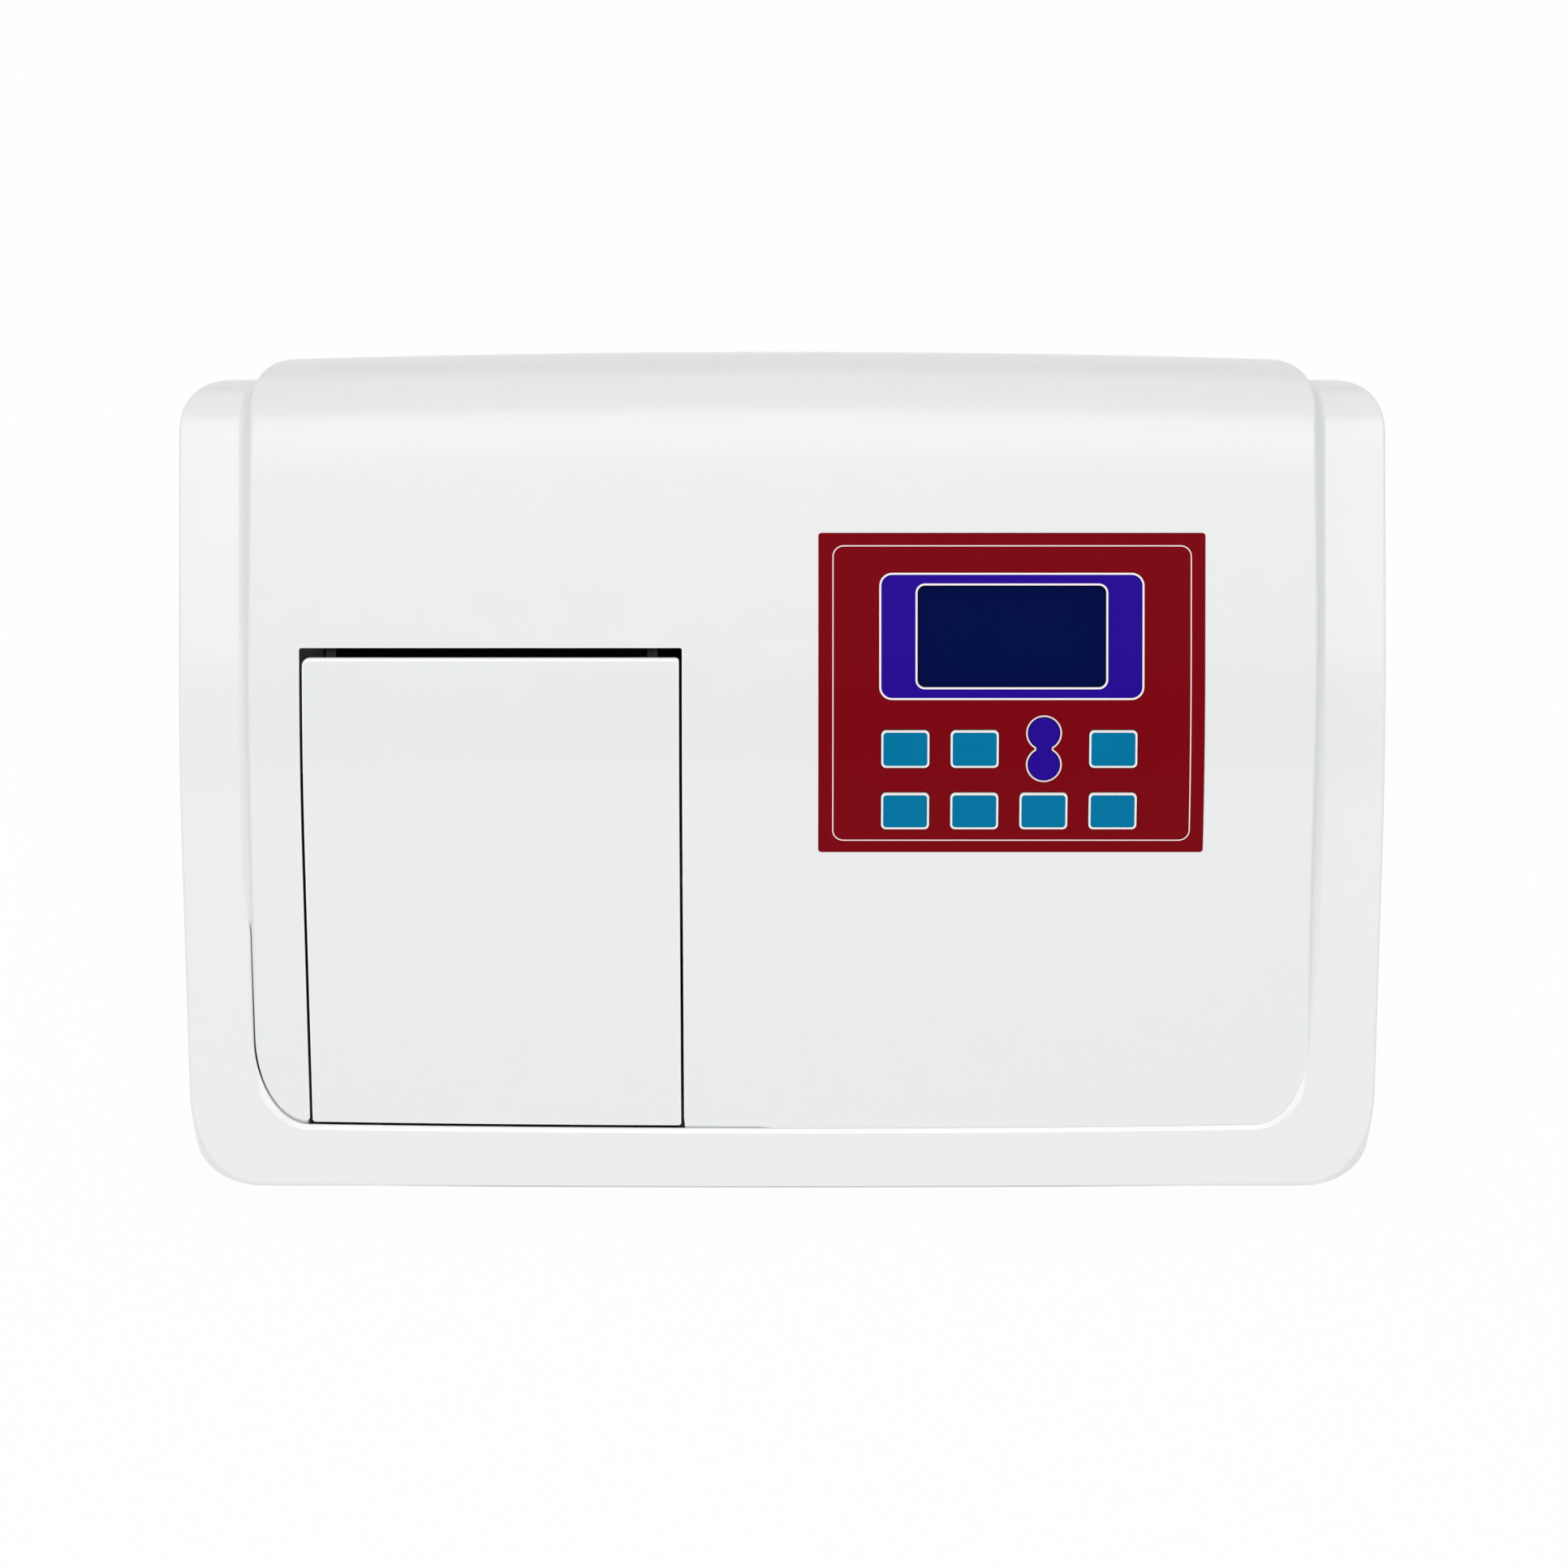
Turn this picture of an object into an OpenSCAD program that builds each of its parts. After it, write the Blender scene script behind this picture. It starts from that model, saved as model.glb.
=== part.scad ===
// UV-vis spectrophotometer with a raised middle band, a sample lid at the left and a keypad at the right.
// X runs along the width, Y from front to back, Z up. The origin is on the table under the middle of the case.

/* [Case] */
// Width over the two side wings
case_w = 476; // [462:1:500]
// Width of the raised middle band
band_w = 426; // [418:1:430]
// Slope of the wings' upper face from the horizontal
upper_slope = 28; // [27:0.5:29]
// Slope of the wings' lower face from the horizontal
lower_slope = 49; // [48:0.5:50]
// Length of the upper face between the knee and the top bend
upper_len = 87; // [82:1:100]
// Length of the lower face from the front edge to the knee
lower_len = 147; // [143:1:152]
// Radius of the knee between the two faces
knee_r = 215; // [205:1:225]
// Radius of the top bend on the wings
wing_bend_r = 22; // [16:1:28]
// Radius of the top bend on the band
band_bend_r = 34; // [30:1:40]
// Tilt of the band against the wings
band_tilt = 2.3; // [2:0.1:2.6]
// Way up the lower face at which the band is level with the wings
level_len = 56; // [50:1:62]
// Length of the band's face below that line
band_front_len = 26.8; // [22:0.2:30]
// Plan radius of the case's front corners
front_corner_r = 27; // [18:1:32]
// Plan radius of the case's back corners
back_corner_r = 33; // [24:1:38]
// Plan radius of the band's front corners
band_front_r = 23; // [16:1:24]
// Plan radius of the band's back corners
band_back_r = 37; // [20:1:42]
// Wall of the mouldings
wall = 3; // [2.4:0.1:3.4]
// Gap between the case and the band
seam = 0.5; // [0.3:0.1:1]
// Depth of the skirts of the band and the lid below the case's face
skirt = 8; // [7:0.5:9]
// Width of the ledge that carries the band
ledge_w = 4.5; // [3:0.5:6]

/* [Base] */
// Height of the case's lower edge above the table
foot_h = 10; // [8:1:14]
// Radius of a foot
foot_r = 11; // [8:0.5:14]
// Thickness of the base plate
base_t = 3; // [2:0.5:4]
// Height of the base plate's underside above the case's lower edge
base_lift = 1; // [0.5:0.5:2]
// Space between the base plate and the case's walls
base_gap = 2; // [1:0.5:3]
// Radius of the case's screw bosses
boss_r = 4.5; // [4:0.5:5]
// Radius of a screw's shank
screw_r = 1.35; // [1.2:0.05:1.5]
// Radius of a screw's head
screw_head_r = 3; // [2.6:0.1:3.4]

/* [Lid] */
// Left edge of the lid from the middle of the case
lid_left = 189.3; // [188:0.1:190]
// Right edge of the lid from the middle of the case
lid_right = 40.3; // [38:0.1:42]
// Gap beside the lid
lid_gap = 0.8; // [0.6:0.1:1.2]
// Distance of the lid's top edge below the knee line
lid_top = 0.5; // [0:0.5:2]
// Gap above the lid, which the lid needs to swing
lid_top_gap = 3.7; // [3.6:0.1:4.2]
// Distance of the hinge axis below the lid's outer face
hinge_deep = 7; // [6.8:0.1:7]
// Distance of the hinge axis in from the lid's top edge
hinge_in = 3.7; // [3.6:0.1:4]
// Radius of the hinge barrels and ears
barrel_r = 3.5; // [3:0.1:3.5]
// Radius of a hinge pin
pin_r = 1.5; // [1.2:0.1:1.8]
// Length of a hinge barrel
barrel_len = 8; // [6:0.5:10]
// Thickness of a hinge ear
ear_t = 4; // [3:0.5:5]
// Thickness of the lid's liner
liner_t = 1.8; // [1.2:0.2:2.4]

/* [Sample compartment] */
// Wall of the tub
tub_wall = 2.5; // [2:0.1:3]
// Space between the lid's side and the tub's wall
tub_in = 4.7; // [4.5:0.1:5.5]
// Distance of the tub's rim below the lid's outer face
rim_deep = 6.5; // [6:0.1:7]
// Height of the tub's underside above the base plate
tub_lift = 10; // [9:0.5:11]
// Front of the tub from the band's front edge
tub_front = 8; // [7.5:0.1:9]
// Back of the full-height part of the tub
tub_mid = 0; // [-2:0.5:0.5]
// Back of the low part of the tub
tub_back = 46; // [44:0.5:48]
// Height of the low part's roof
alcove_z = 118; // [100:1:130]
// Height of the light beam above the table
beam_z = 60; // [58:0.5:62]
// Place of the light beam from front to back
beam_y = -13; // [-15:0.5:-12]
// Radius of the beam windows
window_r = 6; // [4:0.5:8]
// Number of cells in the carriage
cells = 4; // [2:1:4]
// Distance between two cells
cell_pitch = 15; // [14.5:0.1:15]
// Width of a cell well
cell_w = 12.8; // [12.6:0.1:13]
// Distance from a cell's floor to the beam
cell_beam = 15; // [12:0.5:16]
// Height of the carriage above the beam
carriage_top = 14; // [8:0.5:16]
// Width of the carriage across the beam
carriage_w = 26; // [22:1:30]
// Radius of the guide rods
rod_r = 3; // [2.5:0.1:3.5]
// Distance of each guide rod from the drive screw
rod_x = 17; // [14:0.5:20]
// Height of the guide rods above the table
rod_z = 34.5; // [34:0.1:35]
// Radius of the carriage drive screw
carriage_screw_r = 2.5; // [2:0.1:3]
// Radial clearance of a running fit
running = 0.05; // [0.03:0.01:0.09]
// Side of a small stepper motor
motor_side = 28; // [24:1:32]
// Length of a small stepper motor
motor_len = 30; // [22:1:34]

/* [Detector] */
// Length of the detector housing from front to back
detector_len = 50; // [40:1:60]
// Width of the detector housing
detector_w = 34; // [28:1:34]
// Height of the detector housing above the base plate
detector_h = 68; // [62:1:80]

/* [Monochromator] */
// Wall of the cast box
cast_t = 4; // [3:0.5:6]
// Outer width of the box
mono_w = 205; // [202:1:210]
// Outer length of the box from front to back
mono_len = 120; // [118:1:124]
// Front of the box
mono_front = -52; // [-54:1:-50]
// Height of the box's floor above the base plate
mono_lift = 6; // [4:1:8]
// Outer height of the box without its cover
mono_h = 72; // [70:1:76]
// Place of the grating's axis across the box
grating_x = 80; // [78:1:84]
// Place of the grating's axis from front to back
grating_y = 36; // [34:1:38]
// Side of the grating
grating_side = 30; // [24:1:32]
// Radius of the grating table
table_r = 18; // [16:0.5:20]
// Length of the sine arm
arm_len = 50; // [48:1:52]
// Radius of the sine arm's ball
ball_r = 3; // [2.5:0.1:3.5]
// Radius of the wavelength screw
wave_r = 3; // [2.5:0.1:3.5]
// Distance of the wavelength screw beyond the sine arm's ball
wave_out = 12; // [11:0.5:13]
// Radius of the curved mirrors
mirror_r = 14; // [11:0.5:15]

/* [Light source] */
// Middle of the lamp house, where the beam starts
source_x = 10; // [8:1:12]
// Inner front of the lamp house from the middle of the case
source_front = 77.5; // [77:0.5:80]
// Length of the lamp house from front to back
house_len = 38; // [36:1:40]
// Width of the lamp house
house_w = 136; // [130:1:142]
// Height of the lamp house
house_h = 98; // [90:1:104]
// Sheet thickness of the lamp house and the rear panel
sheet_t = 1.5; // [1:0.5:2]
// Radius of the deuterium lamp's bulb
deuterium_r = 14; // [12:0.5:15]
// Radius of the tungsten lamp's bulb
tungsten_r = 5.5; // [4:0.5:7]
// Distance of each lamp from the swinging mirror
lamp_x = 40; // [36:1:44]
// Radius of the filter wheel
wheel_r = 33; // [31:1:34]
// Distance of the filters from the wheel's axis
filter_ring = 26; // [25:0.5:26]
// Radius of a filter
filter_r = 5; // [4:0.5:6]
// Number of filters
filters = 6; // [4:1:8]

/* [Keypad] */
// Middle of the keypad from the middle of the case
pad_x = 90.3; // [88:0.1:92]
// Width of the keypad sheet
pad_w = 152.2; // [148:0.2:156]
// Top of the keypad sheet above the knee line
pad_top = 48.5; // [46:0.5:52]
// Bottom of the keypad sheet below the knee line
pad_bottom = 77.5; // [74:0.5:78]
// Thickness of the keypad sheet
pad_t = 0.8; // [0.5:0.1:1]
// How far the sheet stands proud of the band
pad_proud = 0.2; // [0.1:0.1:0.4]
// Width of the display bezel
bezel_w = 104.3; // [96:0.1:110]
// Height of the display bezel
bezel_h = 50; // [48:0.5:52]
// Middle of the display above the knee line
display_v = 7.8; // [7:0.1:8]
// Width of the display window
screen_w = 74.2; // [70:0.1:78]
// Height of the display window
screen_h = 40; // [36:0.5:41]
// Depth of the display glass below the bezel
screen_deep = 2.2; // [1.5:0.1:2.6]
// First column of keys from the middle of the case
key_x = 48.5; // [47:0.1:50]
// Distance between two columns of keys
key_pitch = 27.3; // [25:0.1:28]
// Upper row of keys below the knee line
row_1 = 36.5; // [36:0.1:37]
// Lower row of keys below the knee line
row_2 = 61; // [60:0.1:61.5]
// Width of a key
key_w = 19; // [17:0.1:20]
// Height of a key
key_h = 15; // [13:0.1:15.5]
// Corner radius of a key
key_corner = 1.8; // [1:0.1:3]
// Gap round a key
key_gap = 0.3; // [0.2:0.05:0.4]
// Travel of a key
key_travel = 1; // [0.5:0.1:1.2]
// How far a key stands proud of the sheet
key_proud = 0.7; // [0.3:0.1:1]
// Radius of each round end of the rocker key
lobe_r = 6.1; // [5:0.1:6.5]
// Distance between the rocker key's round ends
lobe_pitch = 12.6; // [11:0.1:13]
// Width of the rocker key's waist
waist_w = 5.4; // [4:0.1:7]

/* [Rear] */
// Half width of the opening in the band's back
back_open = 165; // [160:1:167]
// Top of the opening in the band's back
back_top = 150; // [144:1:156]
// Overlap of the rear panel behind the band's back
panel_lap = 8; // [6:0.5:9]
// Side of the fan
fan_side = 60; // [50:1:66]
// Depth of the fan
fan_t = 15; // [12:1:17]
// Height of the fan's axis above the table
fan_z = 66; // [60:1:72]
// Place of the power inlet across the back
inlet_x = 138; // [134:1:139]
// Height of the power inlet above the table
inlet_z = 48; // [44:1:54]
// Height of the power switch above the table
switch_z = 92; // [88:1:100]
// Place of the data ports across the back
port_x = -120; // [-130:1:-110]

/* [Hidden] */
$fn = 64;

// Points and directions of the side outline, as [y, z]
function along(a) = [cos(a), sin(a)];
function outward(a) = [-sin(a), cos(a)];
band_upper = upper_slope + band_tilt;
band_lower = lower_slope + band_tilt;
// The band's outline from the case's front edge, before it is centred
level_raw = level_len * along(lower_slope);
band_knee_raw = level_raw + (lower_len - level_len) * along(band_lower) - knee_r * outward(band_lower);
band_bend_raw = band_knee_raw + (knee_r - band_bend_r) * outward(band_upper) + upper_len * along(band_upper);
case_depth = band_bend_raw[0] + band_bend_r;
front_edge = [-case_depth / 2, foot_h];
back_y = case_depth / 2;
wing_knee = front_edge + lower_len * along(lower_slope) - knee_r * outward(lower_slope);
wing_bend = wing_knee + (knee_r - wing_bend_r) * outward(upper_slope) + upper_len * along(upper_slope);
wing_back = wing_bend[0] + wing_bend_r;
band_knee = front_edge + band_knee_raw;
band_bend = front_edge + band_bend_raw;
band_front = (front_edge + level_raw - band_front_len * along(band_lower))[0];
band_top_z = band_bend[1] + band_bend_r;
// The knee line of the band, which its openings are measured from
knee_top = band_knee + knee_r * outward(band_upper);
// Where a point at height v above the knee line lies on the band, and the band's slope there
function face_turn(v) = v > 0 ? 0 : asin(-v / knee_r);
function face_slope(v) = band_upper + face_turn(v);
function face_point(v) = v > 0 ? knee_top + v * along(band_upper) : band_knee + knee_r * outward(face_slope(v));

base_z = foot_h + base_lift;
floor_z = base_z + base_t;
in_back = back_y - wall;
big = 400;
cut = 1;
// Clearance of a piece that is seated on another
seat = 0.3;
hair = 0.05;
screw_head_t = 2;

lid_x0 = -lid_left;
lid_x1 = -lid_right;
hinge_pt = knee_top - (lid_top + hinge_in) * along(band_upper) - hinge_deep * outward(band_upper);
tub_x0 = lid_x0 + tub_in;
tub_x1 = lid_x1 - tub_in;
tub_y0 = band_front + tub_front;
tub_z0 = floor_z + tub_lift;
tub_mid_x = (tub_x0 + tub_x1) / 2;
rest_cell_y = beam_y - (cells - 1) * cell_pitch;
carriage_wall = 3;
carriage_y0 = rest_cell_y - cell_w / 2 - carriage_wall;
carriage_y1 = beam_y + cell_w / 2 + carriage_wall;
carriage_z0 = 29.5;
rail_y = -98;
rail_len = 8;

mono_x0 = tub_x1;
mono_x1 = mono_x0 + mono_w;
mono_y1 = mono_front + mono_len;
mono_z0 = floor_z + mono_lift;
mono_z1 = mono_z0 + mono_h;
mono_cover_t = 2.5;
mono_floor = mono_z0 + cast_t;
table_z = mono_floor + 8;
arm_z = table_z + 7;
wave_x = grating_x + arm_len + wave_out;
nut_gap = 0.35;
grating_turn = -12;
nut_y0 = grating_y + ball_r + nut_gap;
nut_len = 10;
wave_end = nut_y0 - 22;

house_x0 = source_x - house_w / 2;
house_y0 = source_front - sheet_t;
house_y1 = house_y0 + house_len;
source_y = house_y0 + house_len / 2;
wheel_y = (mono_y1 + house_y0) / 2;
wheel_t = 2;
wheel_z = beam_z + filter_ring;

board_t = 1.6;
key_rows = [-row_1, -row_2];
panel_y = in_back - sheet_t;
switch_deep = 7.2;
// Thickness of a key's rim, and the depth of the rocker key's rim, which has to rock
flange = 1.2;
rocker_flange = wall + 1.5;
// Depth of the rocker key's pivot below the band's face, and the radius of the pivot's round rib
pivot_deep = rocker_flange + 0.6;
pivot_r = 0.8;
board_v = -(row_1 + row_2) / 2;
board_z = -12;
inlet_w = 48;
inlet_h = 24;
inlet_deep = 20;
flange_t = 2;
rocker_w = 13;
rocker_axis = in_back - 1.5;
rocker_turn = 8;

// Moves a side outline drawn in Y and Z out along X, from x0 to x1
module across(x0, x1) {
    translate([x0, 0, 0]) rotate([90, 0, 90]) linear_extrude(x1 - x0) children();
}

// Places children on the band's face at [x, v]: their Z is the outward normal and their Y the way up
module on_face(x, v) {
    p = face_point(v);
    translate([x, p[0], p[1]]) rotate([face_slope(v), 0, 0]) children();
}

module box(x, y, z) {
    translate([x[0], y[0], z[0]]) cube([x[1] - x[0], y[1] - y[0], z[1] - z[0]]);
}

// The area under a face of two slopes, a knee between them and a round top bend, set in by d
module side_area(knee, bend, bend_r, lo, up, d) {
    knee_in = knee_r - d;
    bend_in = bend_r - d;
    low = knee + knee_in * outward(lo) - 1.3 * lower_len * along(lo);
    polygon([
        low,
        knee + knee_in * outward(lo),
        knee + knee_in * outward(up),
        bend + bend_in * outward(up),
        [bend[0] + bend_in, bend[1]],
        [bend[0] + bend_in, low[1]]
    ]);
    intersection() {
        translate(knee) circle(r = knee_in, $fn = 256);
        knee_wedge(knee, 0.8 * knee_in, 1.1 * knee_in, lo, up);
    }
    translate(bend) circle(r = bend_in);
}

// The part of the knee's sector between two radii
module knee_wedge(knee, r0, r1, lo, up) {
    polygon([
        knee + r0 * outward(lo),
        knee + r1 * outward(lo),
        knee + r1 * outward(up),
        knee + r0 * outward(up)
    ]);
}

module wing_area(d) {
    side_area(wing_knee, wing_bend, wing_bend_r, lower_slope, upper_slope, d);
}

module band_area(d) {
    side_area(band_knee, band_bend, band_bend_r, band_lower, band_upper, d);
}

// A rectangle in plan with its own corner radius at the front and at the back
module plan_area(w, y0, y1, rf, rb) {
    translate([-w / 2, y0 + rf]) square([w, y1 - rb - y0 - rf]);
    translate([-w / 2 + rf, y0]) square([w - 2 * rf, rf + cut]);
    translate([-w / 2 + rb, y1 - rb - cut]) square([w - 2 * rb, rb + cut]);
    for (s = [-1, 1]) {
        translate([s * (w / 2 - rf), y0 + rf]) circle(r = rf);
        translate([s * (w / 2 - rb), y1 - rb]) circle(r = rb);
    }
}

module upright(z0, z1) {
    translate([0, 0, z0]) linear_extrude(z1 - z0) children();
}

// The case's solid form, set in by d
module wing_block(d) {
    intersection() {
        across(-case_w / 2 - cut, case_w / 2 + cut) wing_area(d);
        upright(d > 0 ? foot_h - cut : foot_h, band_top_z)
            plan_area(case_w - 2 * d, front_edge[0] + d, wing_back - d, front_corner_r - d, back_corner_r - d);
    }
}

// The band's solid form, set in by d
module band_block(d) {
    intersection() {
        across(-band_w / 2 - cut, band_w / 2 + cut) band_area(d);
        // The plan stands a hair proud of the back, so that the two don't share a face
        upright(d > 0 ? foot_h - cut : foot_h, band_top_z + cut)
            plan_area(band_w - 2 * d, band_front + d, back_y - d + hair, band_front_r - d, band_back_r - d + hair);
    }
}

// The hole in the case for the band, widened by d
module band_hole(d, z0) {
    upright(z0, band_top_z + cut)
        plan_area(band_w + 2 * d, band_front - d, back_y + big / 4, band_front_r + d, band_back_r);
}

// Where the case's bosses and their screws stand
module at_bosses() {
    for (s = [-1, 1], y = [-90, 0, 84]) translate([s * (case_w + band_w) / 4 - s * 1.5, y, 0]) children();
}

module outer_case() {
    lip = wall;
    lip_deep = skirt + seat + wall;
    color("whitesmoke") difference() {
        union() {
            difference() {
                wing_block(0);
                difference() {
                    wing_block(wall);
                    at_bosses() cylinder(r = boss_r, h = band_top_z);
                }
                band_hole(seam, -cut);
            }
            // The wall beside the band and the ledge under its skirt
            intersection() {
                wing_block(wall / 2);
                difference() {
                    band_hole(seam + lip, floor_z);
                    band_hole(seam, floor_z - cut);
                    across(-big, big) wing_area(lip_deep);
                }
            }
            intersection() {
                wing_block(wall / 2);
                across(-big, big) difference() {
                    wing_area(skirt + seat);
                    wing_area(lip_deep);
                    translate([-big, floor_z - big]) square([2 * big, big]);
                    translate([wing_back - back_corner_r, 0]) square([big, big]);
                }
                difference() {
                    band_hole(seam + lip / 2, floor_z);
                    band_hole(-ledge_w, floor_z - cut);
                }
            }
        }
        translate([0, 0, -cut]) at_bosses() cylinder(r = screw_r + running, h = floor_z + 14 + cut);
        translate([0, 0, foot_h - cut]) at_bosses() cylinder(r = boss_r + 2, h = floor_z - foot_h + cut);
    }
}

// The lid's share of the band: everything below a cut across the upper face at height v
module lid_zone(v) {
    edge = knee_top + v * along(band_upper);
    polygon([
        edge + 40 * outward(band_upper),
        edge - 60 * outward(band_upper),
        [band_front - 60, edge[1] - 260],
        [band_front - 60, edge[1] + 40]
    ]);
}

module key_outline(w, h, r) {
    for (i = [-1, 1], j = [-1, 1]) translate([i * (w / 2 - r), j * (h / 2 - r)]) circle(r = r);
    square([w - 2 * r, h], center = true);
    square([w, h - 2 * r], center = true);
}

module rocker_outline(d) {
    for (j = [-1, 1]) translate([0, j * lobe_pitch / 2]) circle(r = lobe_r + d);
    square([waist_w + 2 * d, lobe_pitch], center = true);
}

function key_place(col, row) = [key_x + (col - 1) * key_pitch, key_rows[row]];

// Columns and rows of the keys: the rocker key takes the third place of the upper row
key_spots = [[1, 0], [2, 0], [4, 0], [1, 1], [2, 1], [3, 1], [4, 1]];

// The openings that the keys travel in
module key_holes(gap) {
    for (k = key_spots) {
        p = key_place(k[0], k[1]);
        on_face(p[0], p[1]) upright(-wall - 3, 5) key_outline(key_w + 2 * gap, key_h + 2 * gap, key_corner);
    }
    r = key_place(3, 0);
    on_face(r[0], r[1]) upright(-wall - 3, 5) rocker_outline(gap);
}

// A sheet that follows the band's face between the depths top and bottom
module face_sheet(top, bottom, x, w, v0, v1, r) {
    intersection() {
        band_layer(x - w / 2 - cut, x + w / 2 + cut, top, bottom);
        on_face(x, 0.001) translate([0, (v0 + v1) / 2, 0]) upright(-40, 10) key_outline(w, v1 - v0, r);
    }
}

// The area under the band's two faces and its knee only, set in by d
module knee_area(d) {
    knee_in = knee_r - d;
    corner = band_knee + knee_in / cos((band_lower - band_upper) / 2) * outward((band_lower + band_upper) / 2);
    low = corner - 1.2 * lower_len * along(band_lower);
    high = corner + 1.5 * upper_len * along(band_upper);
    difference() {
        polygon([low, corner, high, [high[0], low[1]]]);
        difference() {
            knee_wedge(band_knee, 0.9 * knee_in, 1.1 * knee_in, band_lower, band_upper);
            translate(band_knee) circle(r = knee_in, $fn = 256);
        }
    }
}

// The layer of the band between the depths top and bottom, from x0 to x1
module band_layer(x0, x1, top, bottom) {
    difference() {
        across(x0, x1) knee_area(top);
        across(x0 - cut, x1 + cut) knee_area(bottom);
    }
}

module screen_hole(extra, deep) {
    on_face(pad_x, 0.001) translate([0, display_v, 0])
        upright(-deep, 10) key_outline(screen_w + 2 * extra, screen_h + 2 * extra, 2.9 + extra);
}

lcd_board = [93, 58];
lcd_post = [-1, 1];
lcd_front = 5.2;

module center_cover() {
    color("white") difference() {
        union() {
            difference() {
                band_block(0);
                band_block(wall);
                across(-big, big) wing_area(skirt);
            }
            // Posts for the display module and the key board
            intersection() {
                band_block(wall / 2);
                union() {
                    on_face(pad_x, 0.001) for (i = lcd_post, j = lcd_post)
                        translate([i * (lcd_board[0] / 2 - 3), display_v + j * (lcd_board[1] / 2 - 3), -lcd_front])
                            cylinder(r = 2.5, h = lcd_front);
                    on_face(pad_x, board_v) for (i = lcd_post, j = lcd_post)
                        translate([i * 72, j * 18, board_z]) cylinder(r = 2.5, h = -board_z);
                }
            }
        }
        // Lid opening, keypad recess, display window, keys and the opening in the back
        across(lid_x0 - lid_gap, lid_x1 + lid_gap) lid_zone(lid_top_gap - lid_top);
        face_sheet(-1, pad_t - pad_proud, pad_x, pad_w + 0.3, -pad_bottom - 0.15, pad_top + 0.15, 1.4);
        screen_hole(0.8, wall + 3);
        key_holes(key_gap);
        box([-back_open, back_open], [in_back - cut, back_y + cut], [floor_z + 5, back_top]);
        // Cooling slots in the band's back above the opening
        for (i = [-9:9]) box([i * 16 - 5, i * 16 + 5], [in_back - cut, back_y + cut], [back_top + 14, back_top + 18]);
    }
}

module sample_lid() {
    side = 2.5;
    color("white") union() {
        difference() {
            intersection() {
                across(lid_x0, lid_x1) intersection() {
                    band_area(0);
                    lid_zone(-lid_top);
                    translate([band_front, 0]) square([big, big]);
                }
                upright(foot_h, band_top_z) plan_area(band_w, band_front, back_y, band_front_r, band_back_r);
            }
            across(lid_x0 + side, lid_x1 - side) intersection() {
                band_area(wall);
                translate([band_front + side, -cut]) square([big, big]);
            }
            across(-big, big) wing_area(skirt);
            across(-big, big) translate(hinge_pt) rotate(band_upper) translate([-9, -20]) square([20, 20.5]);
        }
        for (x = [lid_x0 + 9 + ear_t + 0.3, lid_x1 - 9 - ear_t - 0.3 - barrel_len]) difference() {
            across(x, x + barrel_len) translate(hinge_pt) rotate(band_upper) {
                circle(r = barrel_r);
                translate([-barrel_r, 0]) square([2 * barrel_r, hinge_deep - wall + 0.5]);
            }
            across(x - cut, x + barrel_len + cut) translate(hinge_pt) circle(r = pin_r + running);
        }
    }
}

module lid_liner() {
    x0 = tub_x0 + tub_wall + 1;
    x1 = tub_x1 - tub_wall - 1;
    color("dimgray") intersection() {
        band_layer(x0, x1, wall, wall + liner_t);
        across(x0 - cut, x1 + cut) lid_zone(-20);
        box([-big, 0], [tub_y0 + tub_wall + 1, big], [0, big]);
    }
}

module lid_seal() {
    color("black") difference() {
        intersection() {
            band_layer(tub_x0, tub_x1, wall + seat, rim_deep);
            box([tub_x0, tub_x1], [tub_y0, tub_mid + tub_wall], [0, big]);
        }
        box([tub_x0 + tub_wall, tub_x1 - tub_wall], [tub_y0 + tub_wall, tub_mid], [0, big]);
    }
}

hinge_x = [lid_x0 + 9, lid_x1 - 9 - ear_t];

module hinge_pins() {
    tail = 0.5;
    color("silver") {
        across(hinge_x[0], hinge_x[0] + ear_t + 0.3 + barrel_len + tail) translate(hinge_pt) circle(r = pin_r);
        across(hinge_x[1] - 0.3 - barrel_len - tail, hinge_x[1] + ear_t) translate(hinge_pt) circle(r = pin_r);
    }
}

module hinge_brackets() {
    color("gray") for (x = hinge_x) difference() {
        across(x, x + ear_t) translate(hinge_pt) rotate(band_upper) {
            circle(r = barrel_r);
            polygon([
                [-barrel_r, 0],
                [-barrel_r, -10],
                [18, -10],
                [18, hinge_deep - wall],
                [8.6, hinge_deep - wall],
                [8.6, -5],
                [barrel_r, -5],
                [barrel_r, 0]
            ]);
        }
        across(x - cut, x + ear_t + cut) translate(hinge_pt) circle(r = pin_r + 0.02);
    }
}

base_front = front_edge[0] + (base_lift + base_t) / tan(lower_slope) + wall / sin(lower_slope) + 0.6;

module base_plate() {
    color("silver") for (x = back_screws) difference() {
        box([x - 8, x + 8], [panel_y - 2, panel_y], [floor_z - cut, floor_z + 20]);
        translate([x, panel_y - 3, floor_z + 13]) rotate([-90, 0, 0]) cylinder(r = screw_r + running, h = 4);
    }
    color("silver") difference() {
        upright(base_z, floor_z) {
            plan_area(case_w - 2 * (wall + base_gap), base_front, wing_back - skirt - base_gap,
                front_corner_r - wall - base_gap, back_corner_r - wall - base_gap);
            plan_area(band_w - 2 * (wall + base_gap), base_front + front_corner_r, in_back - seat,
                band_front_r, band_back_r - wall - base_gap);
        }
        upright(base_z - cut, floor_z + cut) {
            at_bosses() circle(r = screw_r + 0.4);
            // Air slots under the lamp house and the supply
            for (i = [0:7]) translate([-34 + i * 12, -32]) key_outline(4, 36, 1.9);
            for (i = [0:4]) translate([182 + i * 9, 20]) key_outline(4, 50, 1.9);
        }
    }
}

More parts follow.
